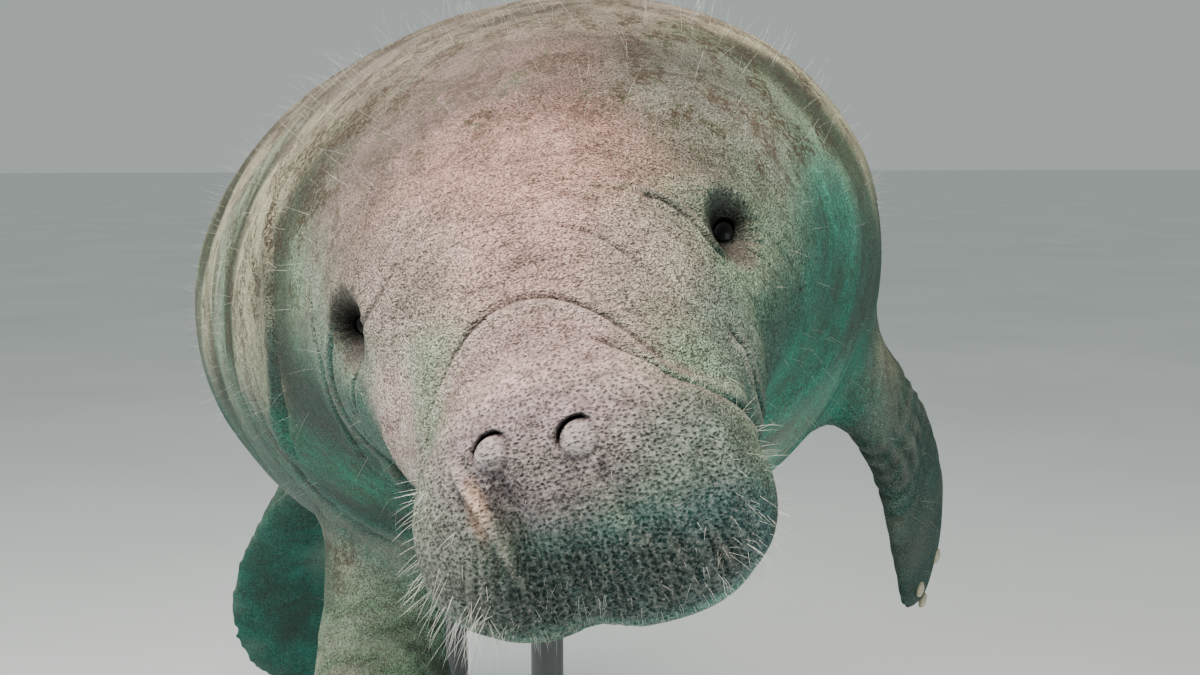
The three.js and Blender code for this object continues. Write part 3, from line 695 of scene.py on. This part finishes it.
# The underside, deep underside, flipper and paddle colours are painted shade, dark teal where faces turn from
# the light; the flippers' lit colour is painted light; the flank green is partly algae and partly painted
# shade
bodyColours = {"back": "#8b8373", "flank": "#88a085", "sage": "#8fa98a", "cream": "#cfcaa8",
               "dark": "#33492f", "under": "#3f6f60", "deep": "#20665a", "limbLeftShade": "#08463f",
               "limbRightShade": "#4c8068", "limbPaintedLight": "#7a9272", "paddleShade": "#1c7466"}

# Rings of paler and darker growth round the body: middle and half width from front to back, colour
flankRings = [
    (-0.8, 0.08, "sage"), (-0.715, 0.03, "dark"), (-0.6, 0.075, "cream"), (-0.5, 0.022, "dark"),
    (-0.42, 0.05, "sage"), (-0.3, 0.05, "cream"), (-0.18, 0.05, "dark"), (0.02, 0.09, "sage"),
    (0.3, 0.08, "dark"),
]
trunkTurn = {"yaw": 5.0, "pitch": -8.0, "roll": 13.0}


def addField(mesh, name, values):
    kind = "FLOAT" if values.ndim == 1 else "FLOAT_VECTOR"
    field = mesh.attributes.new(name, kind, "POINT")
    field.data.foreach_set("value" if values.ndim == 1 else "vector",
                           np.ascontiguousarray(values, dtype=np.float32).ravel())


def blend(ground, code, weight):
    return ground + (np.array(tint(code)[:3]) - ground) * weight[:, None]


# The hide's own colours for each point, with painted light and shade laid in
def groundAndShadeColour(points, normals, place):
    facingUp = normals @ np.array(turnedAxes(**trunkTurn)[2])
    drift = swell(points, 0.09, 6) * 0.03 + swell(points, 0.03, 7) * 0.012
    back = points[:, 1] + drift
    onFace = 1 - smoothStep(60, 170, place[:, 1])
    ground = np.tile(np.array(tint(bodyColours["back"])[:3]), (len(points), 1))
    # sides greener than the back: partly algae, partly painted teal shade where faces turn from the light
    ground = blend(ground, bodyColours["flank"], smoothStep(0.75, 0.3, facingUp))
    ringed = smoothStep(0.93, 0.6, facingUp) * (1 - onFace)  # strongest on the flanks
    for middle, half, colour in flankRings:
        band = smoothStep(half + 0.018, half - 0.012, np.abs(back - middle))
        ground = blend(ground, bodyColours[colour], 0.8 * ringed * band)
    low = facingUp + drift * 4
    # painted shade: dark teal on faces turned down, away from the light
    ground = blend(ground, bodyColours["under"], smoothStep(0.22, -0.3, low))
    ground = blend(ground, bodyColours["deep"], smoothStep(-0.25, -0.8, low))
    for code, middle, half, share in hideToneAndShadeZones:
        away = np.linalg.norm((place - middle) / np.array(half), axis=1)
        ground = blend(ground, code, share * (1 - smoothStep(0.5, 1.35, away + drift * 6)))
    # painted shade: the flippers dark teal, with painted light where they face the light, up, forward and to
    # the left
    for side in limbs:
        share, limb = alongLimb(points, side)
        ground = blend(ground, bodyColours["limbLeftShade" if side == "left" else "limbRightShade"], limb * 0.9)
        outer = smoothStep(-0.1, 0.7, normals @ np.array((-0.5, -0.6, 0.55)))
        ground = blend(ground, bodyColours["limbPaintedLight"], limb * outer * (0.75 if side == "right" else 0.1))
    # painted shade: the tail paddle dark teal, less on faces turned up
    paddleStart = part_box("tail_paddle")[0][1]
    paddleShadeShare = smoothStep(paddleStart + 0.02, paddleStart + 0.14, points[:, 1])
    paddleShadeShare *= 0.75 - 0.35 * smoothStep(0.0, 0.6, normals[:, 2])
    return blend(ground, bodyColours["paddleShade"], paddleShadeShare)


# Rays round the nearer eye, for wrinkles that run out from it
def eyeRays(place):
    away = [place - spot for spot in eyeSpots]
    nearer = np.argmin([np.linalg.norm(a, axis=1) for a in away], axis=0)
    offset = np.where(nearer[:, None] == 0, away[0], away[1])
    reach = np.linalg.norm(offset, axis=1) + 1e-6
    angle = np.arctan2(offset[:, 2], offset[:, 1])
    rays = np.stack([np.cos(angle) * 5.5, np.sin(angle) * 5.5, np.log(reach) * 1.6 + nearer * 9], axis=1)
    return rays, smoothStep(64, 30, reach) * smoothStep(15, 26, reach), reach


def paintFields(mesh, fields):
    points, normals = readPoints(mesh), readNormals(mesh)
    place = toHead(points)
    rays, rayShare, eyeReach = eyeRays(place)
    fields["ground"] = groundAndShadeColour(points, normals, place)
    fields["rays"], fields["rayShare"] = rays, rayShare
    # painted shade round the eyes
    fields["socket"] = smoothStep(30, 12, eyeReach)
    fields["headPlace"] = place / 1000
    fields["face"] = 1 - smoothStep(20, 120, place[:, 1])
    fields["poreX"] = place[:, 0] / 1000
    fields["poreY"] = (place[:, 2] + 0.75 * place[:, 1]) / 1000
    fields["snout"] = smoothStep(-96, -120, place[:, 1] + 0.0085 * place[:, 0] ** 2 * 0.6)
    crown = smoothStep(-10, 80, place[:, 1]) * smoothStep(0.1, 0.6, normals @ np.array(headUp))
    growth = np.clip(crown + 0.4 * (1 - fields["face"]), 0, 1)
    for side in limbs:
        growth *= 1 - 0.85 * alongLimb(points, side)[1]
    fields["algae"] = growth * smoothStep(0.75, 0.3, points[:, 1])
    for name, values in fields.items():
        addField(mesh, name, values)


# Small tools for materials
def newMaterial(name):
    material = bpy.data.materials.new(name)
    material.use_nodes = True
    return material, material.node_tree, material.node_tree.nodes["Principled BSDF"]


# Sockets go by name or number, and take a value or another node's output. A Mix node's go by
# number: 0 is its factor, 4 and 5 are vectors, 6 and 7 colours.
def setSockets(tree, node, sockets):
    for socket, value in sockets.items():
        if isinstance(value, bpy.types.NodeSocket):
            tree.links.new(value, node.inputs[socket])
        else:
            node.inputs[socket].default_value = value


# Adds a node with its settings, which may be a ramp's stops, and its sockets, and gives one output
def addNode(tree, kind, output, settings, sockets):
    node = tree.nodes.new("ShaderNode" + kind)
    for name, value in settings.items():
        if name == "stops":
            setStops(node.color_ramp, value)
        else:
            setattr(node, name, value)
    setSockets(tree, node, sockets)
    return node.outputs[output]


def setStops(ramp, stops):
    while len(ramp.elements) < len(stops):
        ramp.elements.new(0.5)
    for element, (at, colour) in zip(ramp.elements, stops):
        element.position = at
        element.color = colour if isinstance(colour, tuple) else (colour, colour, colour, 1.0)


# Manatee hide: thick, dull and wet, with pits between small pebbles, and fine wrinkles that cross
# it. The eye sees a matt, dusty, pinkish grey-brown, broken into bright and dark grains, with
# brown algae in patches where nothing rubs it off. Shade is painted dark into its pits, pores,
# creases, wrinkles and eye sockets, and highlights pale onto its pebbles and rolls. Sizes are in millimetres.
hide = {
    "algae": "#3d3022", "moss": "#3f4a33", "pebbleShadeAndGrain": "#5c5450", "creaseShade": "#2f2a27", "highlightAndPaleGrain": "#e0d0c4",
    "pitShade": "#030303", "plug": "#9d9492", "socket": "#3c3735",
    "pebble": 1.25, "pore": 2.8, "grain": 0.8, "bend": 0.004, "poreBend": 0.005,
}

# Noises of the hide: the places they follow, sizes across, back and up, detail, roughness
hideNoises = {
    "warp": ("object", (6.667, 6.667, 6.667), 2.0, 0.5),
    "cloud": ("object", (33.33, 33.33, 33.33), 5.0, 0.6),
    "close": ("object", (7.692, 7.692, 7.692), 4.0, 0.65),
    "fine": ("object", (1.4286, 1.4286, 1.4286), 3.0, 0.7),
    "algaePatch": ("headPlace", (22.73, 55.56, 33.33), 6.0, 0.65),
    "algaeGrain": ("object", (4.348, 4.348, 4.348), 4.0, 0.8),
    "cross": ("headPlace", (20.0, 3.846, 4.167), 3.0, 0.55),
    "ring": ("object", (71.43, 6.667, 71.43), 4.0, 0.6),
}
hideFields = {
    "Vector": ("ground", "rays", "headPlace"),
    "Fac": ("fold", "roll", "pit", "plug", "socket", "face", "snout", "algae", "rayShare", "poreX", "poreY"),
}

# Painted shade in the folds, round the eye sockets and in the eye pits and nostril slits, painted highlight
# on the rolls, and the plugs' own paler tone, laid over the hide where its fields say: field, share, colour
hideShadeAndPlugLayers = [("fold", 0.85, "creaseShade"), ("roll", 0.16, "highlightAndPaleGrain"), ("socket", 0.5, "socket"),
              ("plug", 0.4, "plug"), ("pit", 1.0, "pitShade")]


# All that the hide's patterns read: the skin's fields, and the noises
def hideSources(tree):
    sources = {"object": addNode(tree, "TexCoord", "Object", {}, {})}
    for output, names in hideFields.items():
        for name in names:
            sources[name] = addNode(tree, "Attribute", output, {"attribute_name": name}, {})
    for name, (follows, sizes, detail, roughness) in hideNoises.items():
        spread = addNode(tree, "Mapping", "Vector", {}, {
            "Vector": sources[follows], "Scale": tuple(1000 / size for size in sizes)})
        sources[name] = addNode(tree, "TexNoise", "Color" if name == "warp" else "Fac", {}, {
            "Vector": spread, "Scale": 1.0, "Detail": detail, "Roughness": roughness})
    return sources


# Pebbles over the whole hide, pores in the snout, and fine grain
def hideCells(tree, sources):
    bent = addNode(tree, "Mix", 1, {"data_type": "VECTOR"}, {
        0: hide["bend"], 4: sources["headPlace"], 5: sources["warp"]})
    bent = addNode(tree, "Mapping", "Vector", {}, {"Vector": bent, "Scale": (0.85, 1.1, 1.05)})
    flat = addNode(tree, "CombineXYZ", "Vector", {}, {"X": sources["poreX"], "Y": sources["poreY"]})
    bentFlat = addNode(tree, "Mix", 1, {"data_type": "VECTOR"}, {
        0: hide["poreBend"], 4: flat, 5: sources["warp"]})
    cells = {}
    for name, vector, dimensions, randomness in (("pebble", bent, "3D", 1.0), ("pore", bentFlat, "2D", 0.85),
                                                 ("grain", bent, "3D", 1.0)):
        cells[name] = addNode(tree, "TexVoronoi", "Distance", {"voronoi_dimensions": dimensions}, {
            "Vector": vector, "Scale": 1000 / hide[name], "Randomness": randomness})
    return cells


# Height of the pebbles and pores, and how dark the painted shade in their hollows is
def hideForm(tree, sources, cells):
    stops = [(0.35, 0.6), (0.6, 1.0)]
    steady = addNode(tree, "ValToRGB", "Color", {"stops": stops}, {"Fac": sources["close"]})
    poreShare = addNode(tree, "Math", 0, {"operation": "MULTIPLY"}, {0: sources["snout"], 1: steady})
    kinds = ((cells["pebble"], [(0.1, 1.0), (0.8, 0.0)], [(0.0, 0.85), (0.4, 0.3), (0.8, 0.0)]),
             (cells["pore"], [(0.06, 0.1), (0.24, 0.62), (0.42, 1.0)],
              [(0.1, 0.7), (0.45, 0.28), (0.85, 0.0)]))
    heights, darks = [], []
    for cell, heightStops, darkStops in kinds:
        heights.append(addNode(tree, "ValToRGB", "Color", {"stops": heightStops}, {"Fac": cell}))
        darks.append(addNode(tree, "ValToRGB", "Color", {"stops": darkStops}, {"Fac": heights[-1]}))
    return [addNode(tree, "Mix", 2, {"data_type": "RGBA"}, {0: poreShare, 6: pair[0], 7: pair[1]})
            for pair in (heights, darks)]


# Wrinkles across the face, rays round the eyes and rings round the body
def hideLines(tree, sources):
    ray = addNode(tree, "TexNoise", "Fac", {}, {
        "Vector": sources["rays"], "Scale": 2.0, "Detail": 3.0, "Roughness": 0.55})
    lines = addNode(tree, "Mix", 2, {"data_type": "RGBA"}, {
        0: sources["face"], 6: sources["ring"], 7: sources["cross"]})
    share = addNode(tree, "Math", 0, {"operation": "MULTIPLY"}, {0: sources["rayShare"], 1: 0.4})
    return addNode(tree, "Mix", 2, {"data_type": "RGBA"}, {0: share, 6: lines, 7: ray})


# Algae in grainy patches, brown or mossy: its share and its colour
def hideAlgae(tree, sources):
    growth = sources["algae"]
    for name, stops in (("algaePatch", [(0.49, 0.0), (0.54, 0.92)]),
                        ("algaeGrain", [(0.46, 0.0), (0.52, 1.0)])):
        spots = addNode(tree, "ValToRGB", "Color", {"stops": stops}, {"Fac": sources[name]})
        growth = addNode(tree, "Math", 0, {"operation": "MULTIPLY"}, {0: growth, 1: spots})
    stops = [(0.52, tint(hide["algae"])), (0.62, tint(hide["moss"]))]
    return growth, addNode(tree, "ValToRGB", "Color", {"stops": stops}, {"Fac": sources["cloud"]})


def hideMaterial():
    material, tree, shader = newMaterial("manatee hide, live grown")
    sources = hideSources(tree)
    cells = hideCells(tree, sources)
    form, dark = hideForm(tree, sources, cells)
    lines = hideLines(tree, sources)

    # lighter and darker clouds over the ground colour
    parts = [addNode(tree, "Math", 0, {"operation": "MULTIPLY"}, {0: sources[name], 1: share})
             for name, share in (("cloud", 0.55), ("close", 0.45))]
    shade = addNode(tree, "Math", 0, {"operation": "ADD"}, {0: parts[0], 1: parts[1]})
    stops = [(0.37, 0.2), (0.5, 0.48), (0.64, 0.76)]
    clouds = addNode(tree, "ValToRGB", "Color", {"stops": stops}, {"Fac": shade})
    # random clouds of tone, then painted shade in the pits between pebbles and in the pores
    layers = [("OVERLAY", 0.7, clouds), ("MULTIPLY", dark, tint(hide["pebbleShadeAndGrain"]))]

    # painted highlight on the pebbles' tops, then dark and pale grains
    for way, source, stops, code in (("SCREEN", form, [(0.7, 0.0), (1.0, 0.08)], "highlightAndPaleGrain"),
                                     ("MULTIPLY", sources["fine"], [(0.34, 0.8), (0.48, 0.0)], "pebbleShadeAndGrain"),
                                     ("SCREEN", sources["fine"], [(0.54, 0.0), (0.7, 0.22)], "highlightAndPaleGrain")):
        share = addNode(tree, "ValToRGB", "Color", {"stops": stops}, {"Fac": source})
        layers.append((way, share, tint(hide[code])))
    layers.append(("MIX", *hideAlgae(tree, sources)))

    # painted shade in the wrinkle lines, less on the snout
    lineShade = addNode(tree, "ValToRGB", "Color", {"stops": [(0.3, 0.5), (0.44, 0.0)]}, {"Fac": lines})
    onSnout = addNode(tree, "Math", 0, {"operation": "MULTIPLY"}, {0: sources["snout"], 1: 0.8})
    offSnout = addNode(tree, "Math", 0, {"operation": "SUBTRACT"}, {0: 1.0, 1: onSnout})
    lineShare = addNode(tree, "Math", 0, {"operation": "MULTIPLY"}, {0: lineShade, 1: offSnout})
    layers.append(("MIX", lineShare, tint(hide["creaseShade"])))
    # painted shade in the folds, round the sockets, in the eye pits and nostril slits, painted highlight on
    # the rolls, and the plugs' paler tone
    for name, share, code in hideShadeAndPlugLayers:
        shadeAndPlugShare = addNode(tree, "Math", 0, {"operation": "MULTIPLY"}, {0: sources[name], 1: share})
        layers.append(("MIX", shadeAndPlugShare, tint(hide[code])))
    colour = sources["ground"]
    for way, share, layer in layers:
        colour = addNode(tree, "Mix", 2, {"data_type": "RGBA", "blend_type": way}, {
            0: share, 6: colour, 7: layer})

    # the same forms as relief: source, strength, depth in metres
    relief = [(form, 0.95, 0.0013), (lines, 0.7, 0.0035), (cells["grain"], 0.3, 0.0004),
              (sources["fine"], 0.7, 0.0009)]
    below = {}
    for source, strength, depth in relief:
        normal = addNode(tree, "Bump", "Normal", {}, {
            "Strength": strength, "Distance": depth, "Height": source, **below})
        below = {"Normal": normal}
    finish = []
    for name, stops in (("cloud", [(0.3, 0.58), (0.7, 0.74)]), ("pit", [(0.0, 0.14), (0.8, 0.0)])):
        finish.append(addNode(tree, "ValToRGB", "Color", {"stops": stops}, {"Fac": sources[name]}))
    setSockets(tree, shader, {
        "Base Color": colour, "Normal": normal, "Roughness": finish[0], "Specular IOR Level": finish[1]})
    return material


# Living eyeball, wet: a dark eye, darkened to near black as painted shade of its deep socket, so that one
# small clear highlight is all that shows of it
def eyeMaterial():
    material, tree, shader = newMaterial("wet eyeball")
    gaze = addNode(tree, "Attribute", "Fac", {"attribute_name": "gaze"}, {})
    stops = [(0.0, tint("#0e0b0a")), (0.72, tint("#0b0706")), (0.86, tint("#060404")),
             (0.93, tint("#020202"))]
    setSockets(tree, shader, {
        "Base Color": addNode(tree, "ValToRGB", "Color", {"stops": stops}, {"Fac": gaze}),
        "Roughness": 0.35, "Specular IOR Level": 0.08, "Coat Weight": 0.05, "Coat Roughness": 0.06})
    return material


# Sizes of the patterns of nail, bristle, powder coat and floor, in millimetres
patternSizes = {"nailStreak": 1.111, "bristleChange": 16.67, "orangePeel": 1.111, "dust": 71.43,
                "floor": 1250.0}


# A noise of one of those sizes over a piece
def pieceNoise(tree, name, detail):
    place = addNode(tree, "TexCoord", "Object", {}, {})
    return addNode(tree, "TexNoise", "Fac", {}, {
        "Vector": place, "Scale": 1000 / patternSizes[name], "Detail": detail, "Roughness": 0.55})


# Horn nail, grown in thin layers: dull and streaked along its length
def nailMaterial():
    material, tree, shader = newMaterial("horn nail, grown")
    streak = pieceNoise(tree, "nailStreak", 3.0)
    ridges = addNode(tree, "Bump", "Normal", {}, {"Strength": 0.3, "Distance": 0.0004, "Height": streak})
    stops = [(0.35, tint("#6f6a58")), (0.65, tint("#a29a82"))]
    setSockets(tree, shader, {
        "Base Color": addNode(tree, "ValToRGB", "Color", {"stops": stops}, {"Fac": streak}),
        "Normal": ridges, "Roughness": 0.42})
    return material


# Keratin bristle, grown: pale and clear, so it looks white where light catches it
def bristleMaterial():
    material, tree, shader = newMaterial("keratin bristle, grown")
    stops = [(0.35, tint("#c4c3b4")), (0.65, tint("#efeee4"))]
    change = pieceNoise(tree, "bristleChange", 2.0)
    setSockets(tree, shader, {
        "Base Color": addNode(tree, "ValToRGB", "Color", {"stops": stops}, {"Fac": change}),
        "Roughness": 0.4})
    return material


# Mild steel, powder coated: satin dark grey with the faint orange peel of the baked powder
def standMaterial():
    material, tree, shader = newMaterial("mild steel, powder coated")
    peel, dust = pieceNoise(tree, "orangePeel", 2.0), pieceNoise(tree, "dust", 5.0)
    stops = [(0.4, tint("#2b2d2f")), (0.7, tint("#393b3c"))]
    setSockets(tree, shader, {
        "Base Color": addNode(tree, "ValToRGB", "Color", {"stops": stops}, {"Fac": dust}),
        "Normal": addNode(tree, "Bump", "Normal", {}, {"Strength": 0.12, "Distance": 0.0004, "Height": peel}),
        "Roughness": addNode(tree, "ValToRGB", "Color", {"stops": [(0.3, 0.4), (0.8, 0.55)]}, {"Fac": dust})})
    return material


def finishPiece(piece, material, nodes=()):
    piece.data.materials.clear()
    piece.data.materials.append(material)
    for face in piece.data.polygons:
        face.use_smooth = True
    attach(piece, "root")
    if nodes:
        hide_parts(*nodes)


def buildSkin():
    mesh = buildSkinMesh()
    fields = foldSkin(mesh)
    report("folds, lids and nostrils")
    paintFields(mesh, fields)
    piece = addObject("skin_whole", mesh)
    finishPiece(piece, hideMaterial(), skin["flesh"])
    return piece


def buildEyes():
    material = eyeMaterial()
    radius = eyeShape["ball"] / 1000
    for side in ("left", "right"):
        facing = eyeFacings[side]
        centre = ballCentre(side, facing)
        shape = bmesh.new()
        bmesh.ops.create_uvsphere(shape, u_segments=40, v_segments=28, radius=radius)
        turn = facing.to_track_quat("Z", "Y").to_matrix().to_4x4()
        bmesh.ops.transform(shape, matrix=Matrix.Translation(centre) @ turn, verts=shape.verts)
        mesh = meshOf(f"eyeball_{side}", shape)
        gaze = ((readPoints(mesh) - np.array(centre)) / radius) @ np.array(facing)
        addField(mesh, "gaze", np.clip(gaze, 0, 1))
        finishPiece(addObject(f"eyeball_{side}", mesh), material, [f"eye_{side}"])


def buildNails():
    material = nailMaterial()
    for node in [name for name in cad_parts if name.startswith("nail_")]:
        shape = bmesh.new()
        shape.from_mesh(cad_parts[node].data)
        bmesh.ops.remove_doubles(shape, verts=shape.verts, dist=2e-6)
        bmesh.ops.subdivide_edges(shape, edges=shape.edges[:], cuts=2, use_grid_fill=True, smooth=1.0)
        name = node.replace("nail", "horn")
        finishPiece(addObject(name, meshOf(name, shape)), material, [node])


# Bristles and hairs, in metres. Each is a strand of three sides that tapers to a point, and takes a
# small patch of the bake map at its root's place on the skin rolled out flat.
bristles = {"count": 620, "radius": 0.00008, "sink": 0.001,
            "length": {"least": 0.005, "lip": 0.002, "left": 0.011, "right": 0.005, "corner": 0.010},
            "cornerSpot": (84, -104, -52), "cornerReach": 18}
hairs = {"count": 1500, "radius": 0.000055, "sink": 0.001, "length": (0.008, 0.024)}
bakePatch = {"edge": 0.004, "spread": 0.99, "wide": 0.0012, "high": 0.003, "slices": 40, "rings": 4}


# The skin rolled out flat: round the body, and from snout to tail
def rolledOut(points):
    low, high = points[:, 1].min(), points[:, 1].max()
    slices = bakePatch["slices"]
    index = np.clip(((points[:, 1] - low) / (high - low) * slices).astype(int), 0, slices - 1)
    middles = np.array([points[index == i].mean(0) if np.any(index == i) else (0, 0, 0)
                        for i in range(slices)])

    def flat(root):
        share = (root[1] - low) / (high - low)
        middle = middles[min(max(int(share * slices), 0), slices - 1)]
        turn = math.atan2(root[2] - middle[2], root[0] - middle[0]) / (2 * math.pi) + 0.5
        return tuple(bakePatch["edge"] + bakePatch["spread"] * part for part in (turn, share))
    return flat


def strandMesh(name, strands, flat):
    verts, faces, corners = [], [], []
    rings = bakePatch["rings"]
    for root, way, bend, length, radius in strands:
        side = way.orthogonal().normalized()
        other = way.cross(side).normalized()
        start = len(verts)
        u, v = flat(root)
        for k in range(rings):
            t = k / rings
            centre = root + way * (length * t) + bend * (length * t * t)
            for j in range(3):
                angle = j * math.pi * 2 / 3
                out = side * math.cos(angle) + other * math.sin(angle)
                verts.append(centre + out * radius * (1 - 0.75 * t))
                corners.append((u + (j - 1) * bakePatch["wide"], v + (t - 0.5) * bakePatch["high"]))
        verts.append(root + way * length + bend * length)
        corners.append((u, v + 0.5 * bakePatch["high"]))
        for k in range(rings - 1):
            for j in range(3):
                a, b = start + k * 3 + j, start + k * 3 + (j + 1) % 3
                faces.append((a, b, b + 3, a + 3))
        last, tip = start + (rings - 1) * 3, start + rings * 3
        faces += [(last + j, last + (j + 1) % 3, tip) for j in range(3)]
        faces.append((start + 2, start + 1, start))
    mesh = bpy.data.meshes.new(name)
    mesh.from_pydata(verts, [], faces)
    layer = mesh.uv_layers.new(name="OFBake")
    loops = np.empty(len(mesh.loops), dtype=np.int64)
    mesh.loops.foreach_get("vertex_index", loops)
    layer.data.foreach_set("uv", np.array(corners, dtype=np.float32)[loops].ravel())
    return mesh


def facesOf(mesh):
    count = len(mesh.polygons)
    centres, normals, areas = np.empty(count * 3), np.empty(count * 3), np.empty(count)
    mesh.polygons.foreach_get("center", centres)
    mesh.polygons.foreach_get("normal", normals)
    mesh.polygons.foreach_get("area", areas)
    return centres.reshape(-1, 3), normals.reshape(-1, 3), areas


# Left and right are a viewer's here, as in the folds of the face
def growBristles(mesh, flat, material):
    rng = np.random.RandomState(11)
    centres, normals, areas = facesOf(mesh)
    place = toHead(centres)
    x, y, z = place.T
    front = smoothStep(-84, -104, y) * smoothStep(-150, -128, z)
    leftSide = front * smoothStep(-30, -46, x) * smoothStep(-20, -44, z)
    rightSide = front * smoothStep(52, 66, x) * smoothStep(0, -24, z)
    lip = front * smoothStep(-66, -88, z) * smoothStep(-110, -130, y)
    top = front * (1 - smoothStep(-30, -60, z)) * 0.18
    corner = bump(np.linalg.norm(place - np.array(bristles["cornerSpot"]), axis=1), bristles["cornerReach"])
    length = bristles["length"]
    away = smoothStep(11, 14, awayFrom(place, plugSpots))
    density = areas * away * (0.7 * leftSide + 0.5 * rightSide + 1.5 * lip + top + 0.9 * corner)
    picks = rng.choice(len(centres), bristles["count"], p=density / density.sum())
    strands = []
    for i in picks:
        normal = Vector(normals[i])
        long = length["least"] + length["lip"] * lip[i] + length["left"] * leftSide[i]
        long += length["right"] * rightSide[i] + length["corner"] * corner[i]
        long *= rng.uniform(0.55, 1.35)
        aim = normal * 1.2 - headUp * (0.5 - 0.9 * corner[i]) - headAlong * 0.15
        way = (aim + Vector(rng.uniform(-0.45, 0.45, 3))).normalized()
        bend = (-headUp * 0.25 + Vector(rng.uniform(-0.18, 0.18, 3))) * (0.4 + long / 0.03)
        root = Vector(centres[i]) - normal * bristles["sink"]
        strands.append((root, way, bend * 0.6, long, bristles["radius"] * (0.7 + long / 0.03)))
    finishPiece(addObject("bristles", strandMesh("bristles", strands, flat)), material)


def growHairs(mesh, flat, material):
    rng = np.random.RandomState(5)
    centres, normals, areas = facesOf(mesh)
    place = toHead(centres)
    density = areas * smoothStep(-70, 60, place[:, 1]) * smoothStep(16, 40, awayFrom(place, eyeSpots))
    density *= 0.35 + 0.65 * smoothStep(0.4, -0.5, centres[:, 1])
    picks = rng.choice(len(centres), hairs["count"], p=density / density.sum())
    strands = []
    for i in picks:
        normal = Vector(normals[i])
        long = rng.uniform(*hairs["length"]) * (1 + 0.7 * smoothStep(0.2, 0.7, normal.z))
        way = (normal + Vector((0, 0.35, 0)) + Vector(rng.uniform(-0.4, 0.4, 3))).normalized()
        bend = Vector((rng.uniform(-0.25, 0.25), rng.uniform(0, 0.45), rng.uniform(-0.3, 0.1)))
        root = Vector(centres[i]) - normal * hairs["sink"]
        strands.append((root, way, bend, long, hairs["radius"]))
    finishPiece(addObject("body_hairs", strandMesh("body_hairs", strands, flat)), material)


def paintStand():
    material = standMaterial()
    for name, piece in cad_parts.items():
        if name.startswith("stand_"):
            for slot in piece.material_slots:
                slot.material = material


# Camera, floor and light. The camera stands in front of the head, a little above it: focal length
# and picture width in pixels, where the head's middle lies from it in metres, and its turn.
view = {"focal": 1500.0, "width": 1200.0, "sensor": 36.0, "right": -0.033, "ahead": 0.797, "up": 0.029,
        "turn": 13.0, "tilt": 7.1}


def setCamera():
    turn, tilt = math.radians(view["turn"]), math.radians(view["tilt"])
    level = Vector((math.sin(turn), math.cos(turn), 0))
    right = Vector((math.cos(turn), -math.sin(turn), 0))
    ahead = level * math.cos(tilt) - Vector((0, 0, 1)) * math.sin(tilt)
    up = right.cross(ahead)
    place = headOrigin - right * view["right"] - ahead * view["ahead"] - up * view["up"]
    data = bpy.data.cameras.new("photoView")
    data.sensor_width = view["sensor"]
    data.lens = view["sensor"] * view["focal"] / view["width"]
    data.clip_end = 200.0
    camera = bpy.data.objects.new("photoView", data)
    camera.matrix_world = Matrix.Translation(place) @ Matrix((right, up, -ahead)).transposed().to_4x4()
    bpy.context.scene.collection.objects.link(camera)
    bpy.context.scene.camera = camera


def addLight(name, place, aim, size, power, code):
    data = bpy.data.lights.new(name, "AREA")
    data.shape = "RECTANGLE"
    data.size, data.size_y = size
    data.energy = power
    data.color = tint(code)[:3]
    light = bpy.data.objects.new(name, data)
    light.location = place
    light.rotation_euler = (Vector(aim) - Vector(place)).to_track_quat("-Z", "Y").to_euler()
    bpy.context.scene.collection.objects.link(light)


# Soft panels of light: name, place, aim, size, watts, colour
panels = [
    ("skyPanel", (-0.55, -1.5, 3.1), (-0.05, -0.75, 1.1), (1.4, 1.4), 172.0, "#fff3e8"),
    ("frontPanel", (-1.3, -3.2, 2.0), (-0.1, -0.9, 1.0), (1.4, 1.0), 32.0, "#f2fbff"),
    ("sidePanel", (-2.7, -0.7, 2.4), (-0.2, -0.6, 1.0), (1.6, 1.4), 85.0, "#f2fbff"),
    ("lowPanel", (2.3, -2.0, 0.9), (0.1, -0.6, 0.95), (1.4, 1.0), 22.0, "#ecfffa"),
]
stage = {"floorSize": 80.0, "floor": ("#dde2e0", "#e8ebea"), "air": "#d5dedc", "airStrength": 0.6}


# A plain painted studio floor, matt, with the faintest change of tone
def floorMaterial():
    material, tree, shader = newMaterial("studio floor, painted")
    stops = [(0.3, tint(stage["floor"][0])), (0.7, tint(stage["floor"][1]))]
    tone = pieceNoise(tree, "floor", 3.0)
    setSockets(tree, shader, {
        "Base Color": addNode(tree, "ValToRGB", "Color", {"stops": stops}, {"Fac": tone}), "Roughness": 0.85})
    return material


def setStage():
    shape = bmesh.new()
    bmesh.ops.create_grid(shape, x_segments=1, y_segments=1, size=stage["floorSize"])
    floor = addObject("studioFloor", meshOf("studioFloor", shape))
    floor.data.materials.append(floorMaterial())
    world = bpy.data.worlds.new("studioAir")
    world.use_nodes = True
    background = world.node_tree.nodes["Background"]
    background.inputs["Color"].default_value = tint(stage["air"])
    background.inputs["Strength"].default_value = stage["airStrength"]
    bpy.context.scene.world = world
    for panel in panels:
        addLight(*panel)


setCamera()
setStage()
skinPiece = buildSkin()
skinTree = treeOf(skinPiece.data)
eyeFacings = {side: eyeFacing(skinTree, side) for side in ("left", "right")}
buildEyes()
buildNails()
paintStand()
flatSkin = rolledOut(readPoints(skinPiece.data))
keratin = bristleMaterial()
growBristles(skinPiece.data, flatSkin, keratin)
growHairs(skinPiece.data, flatSkin, keratin)
report("pieces done")
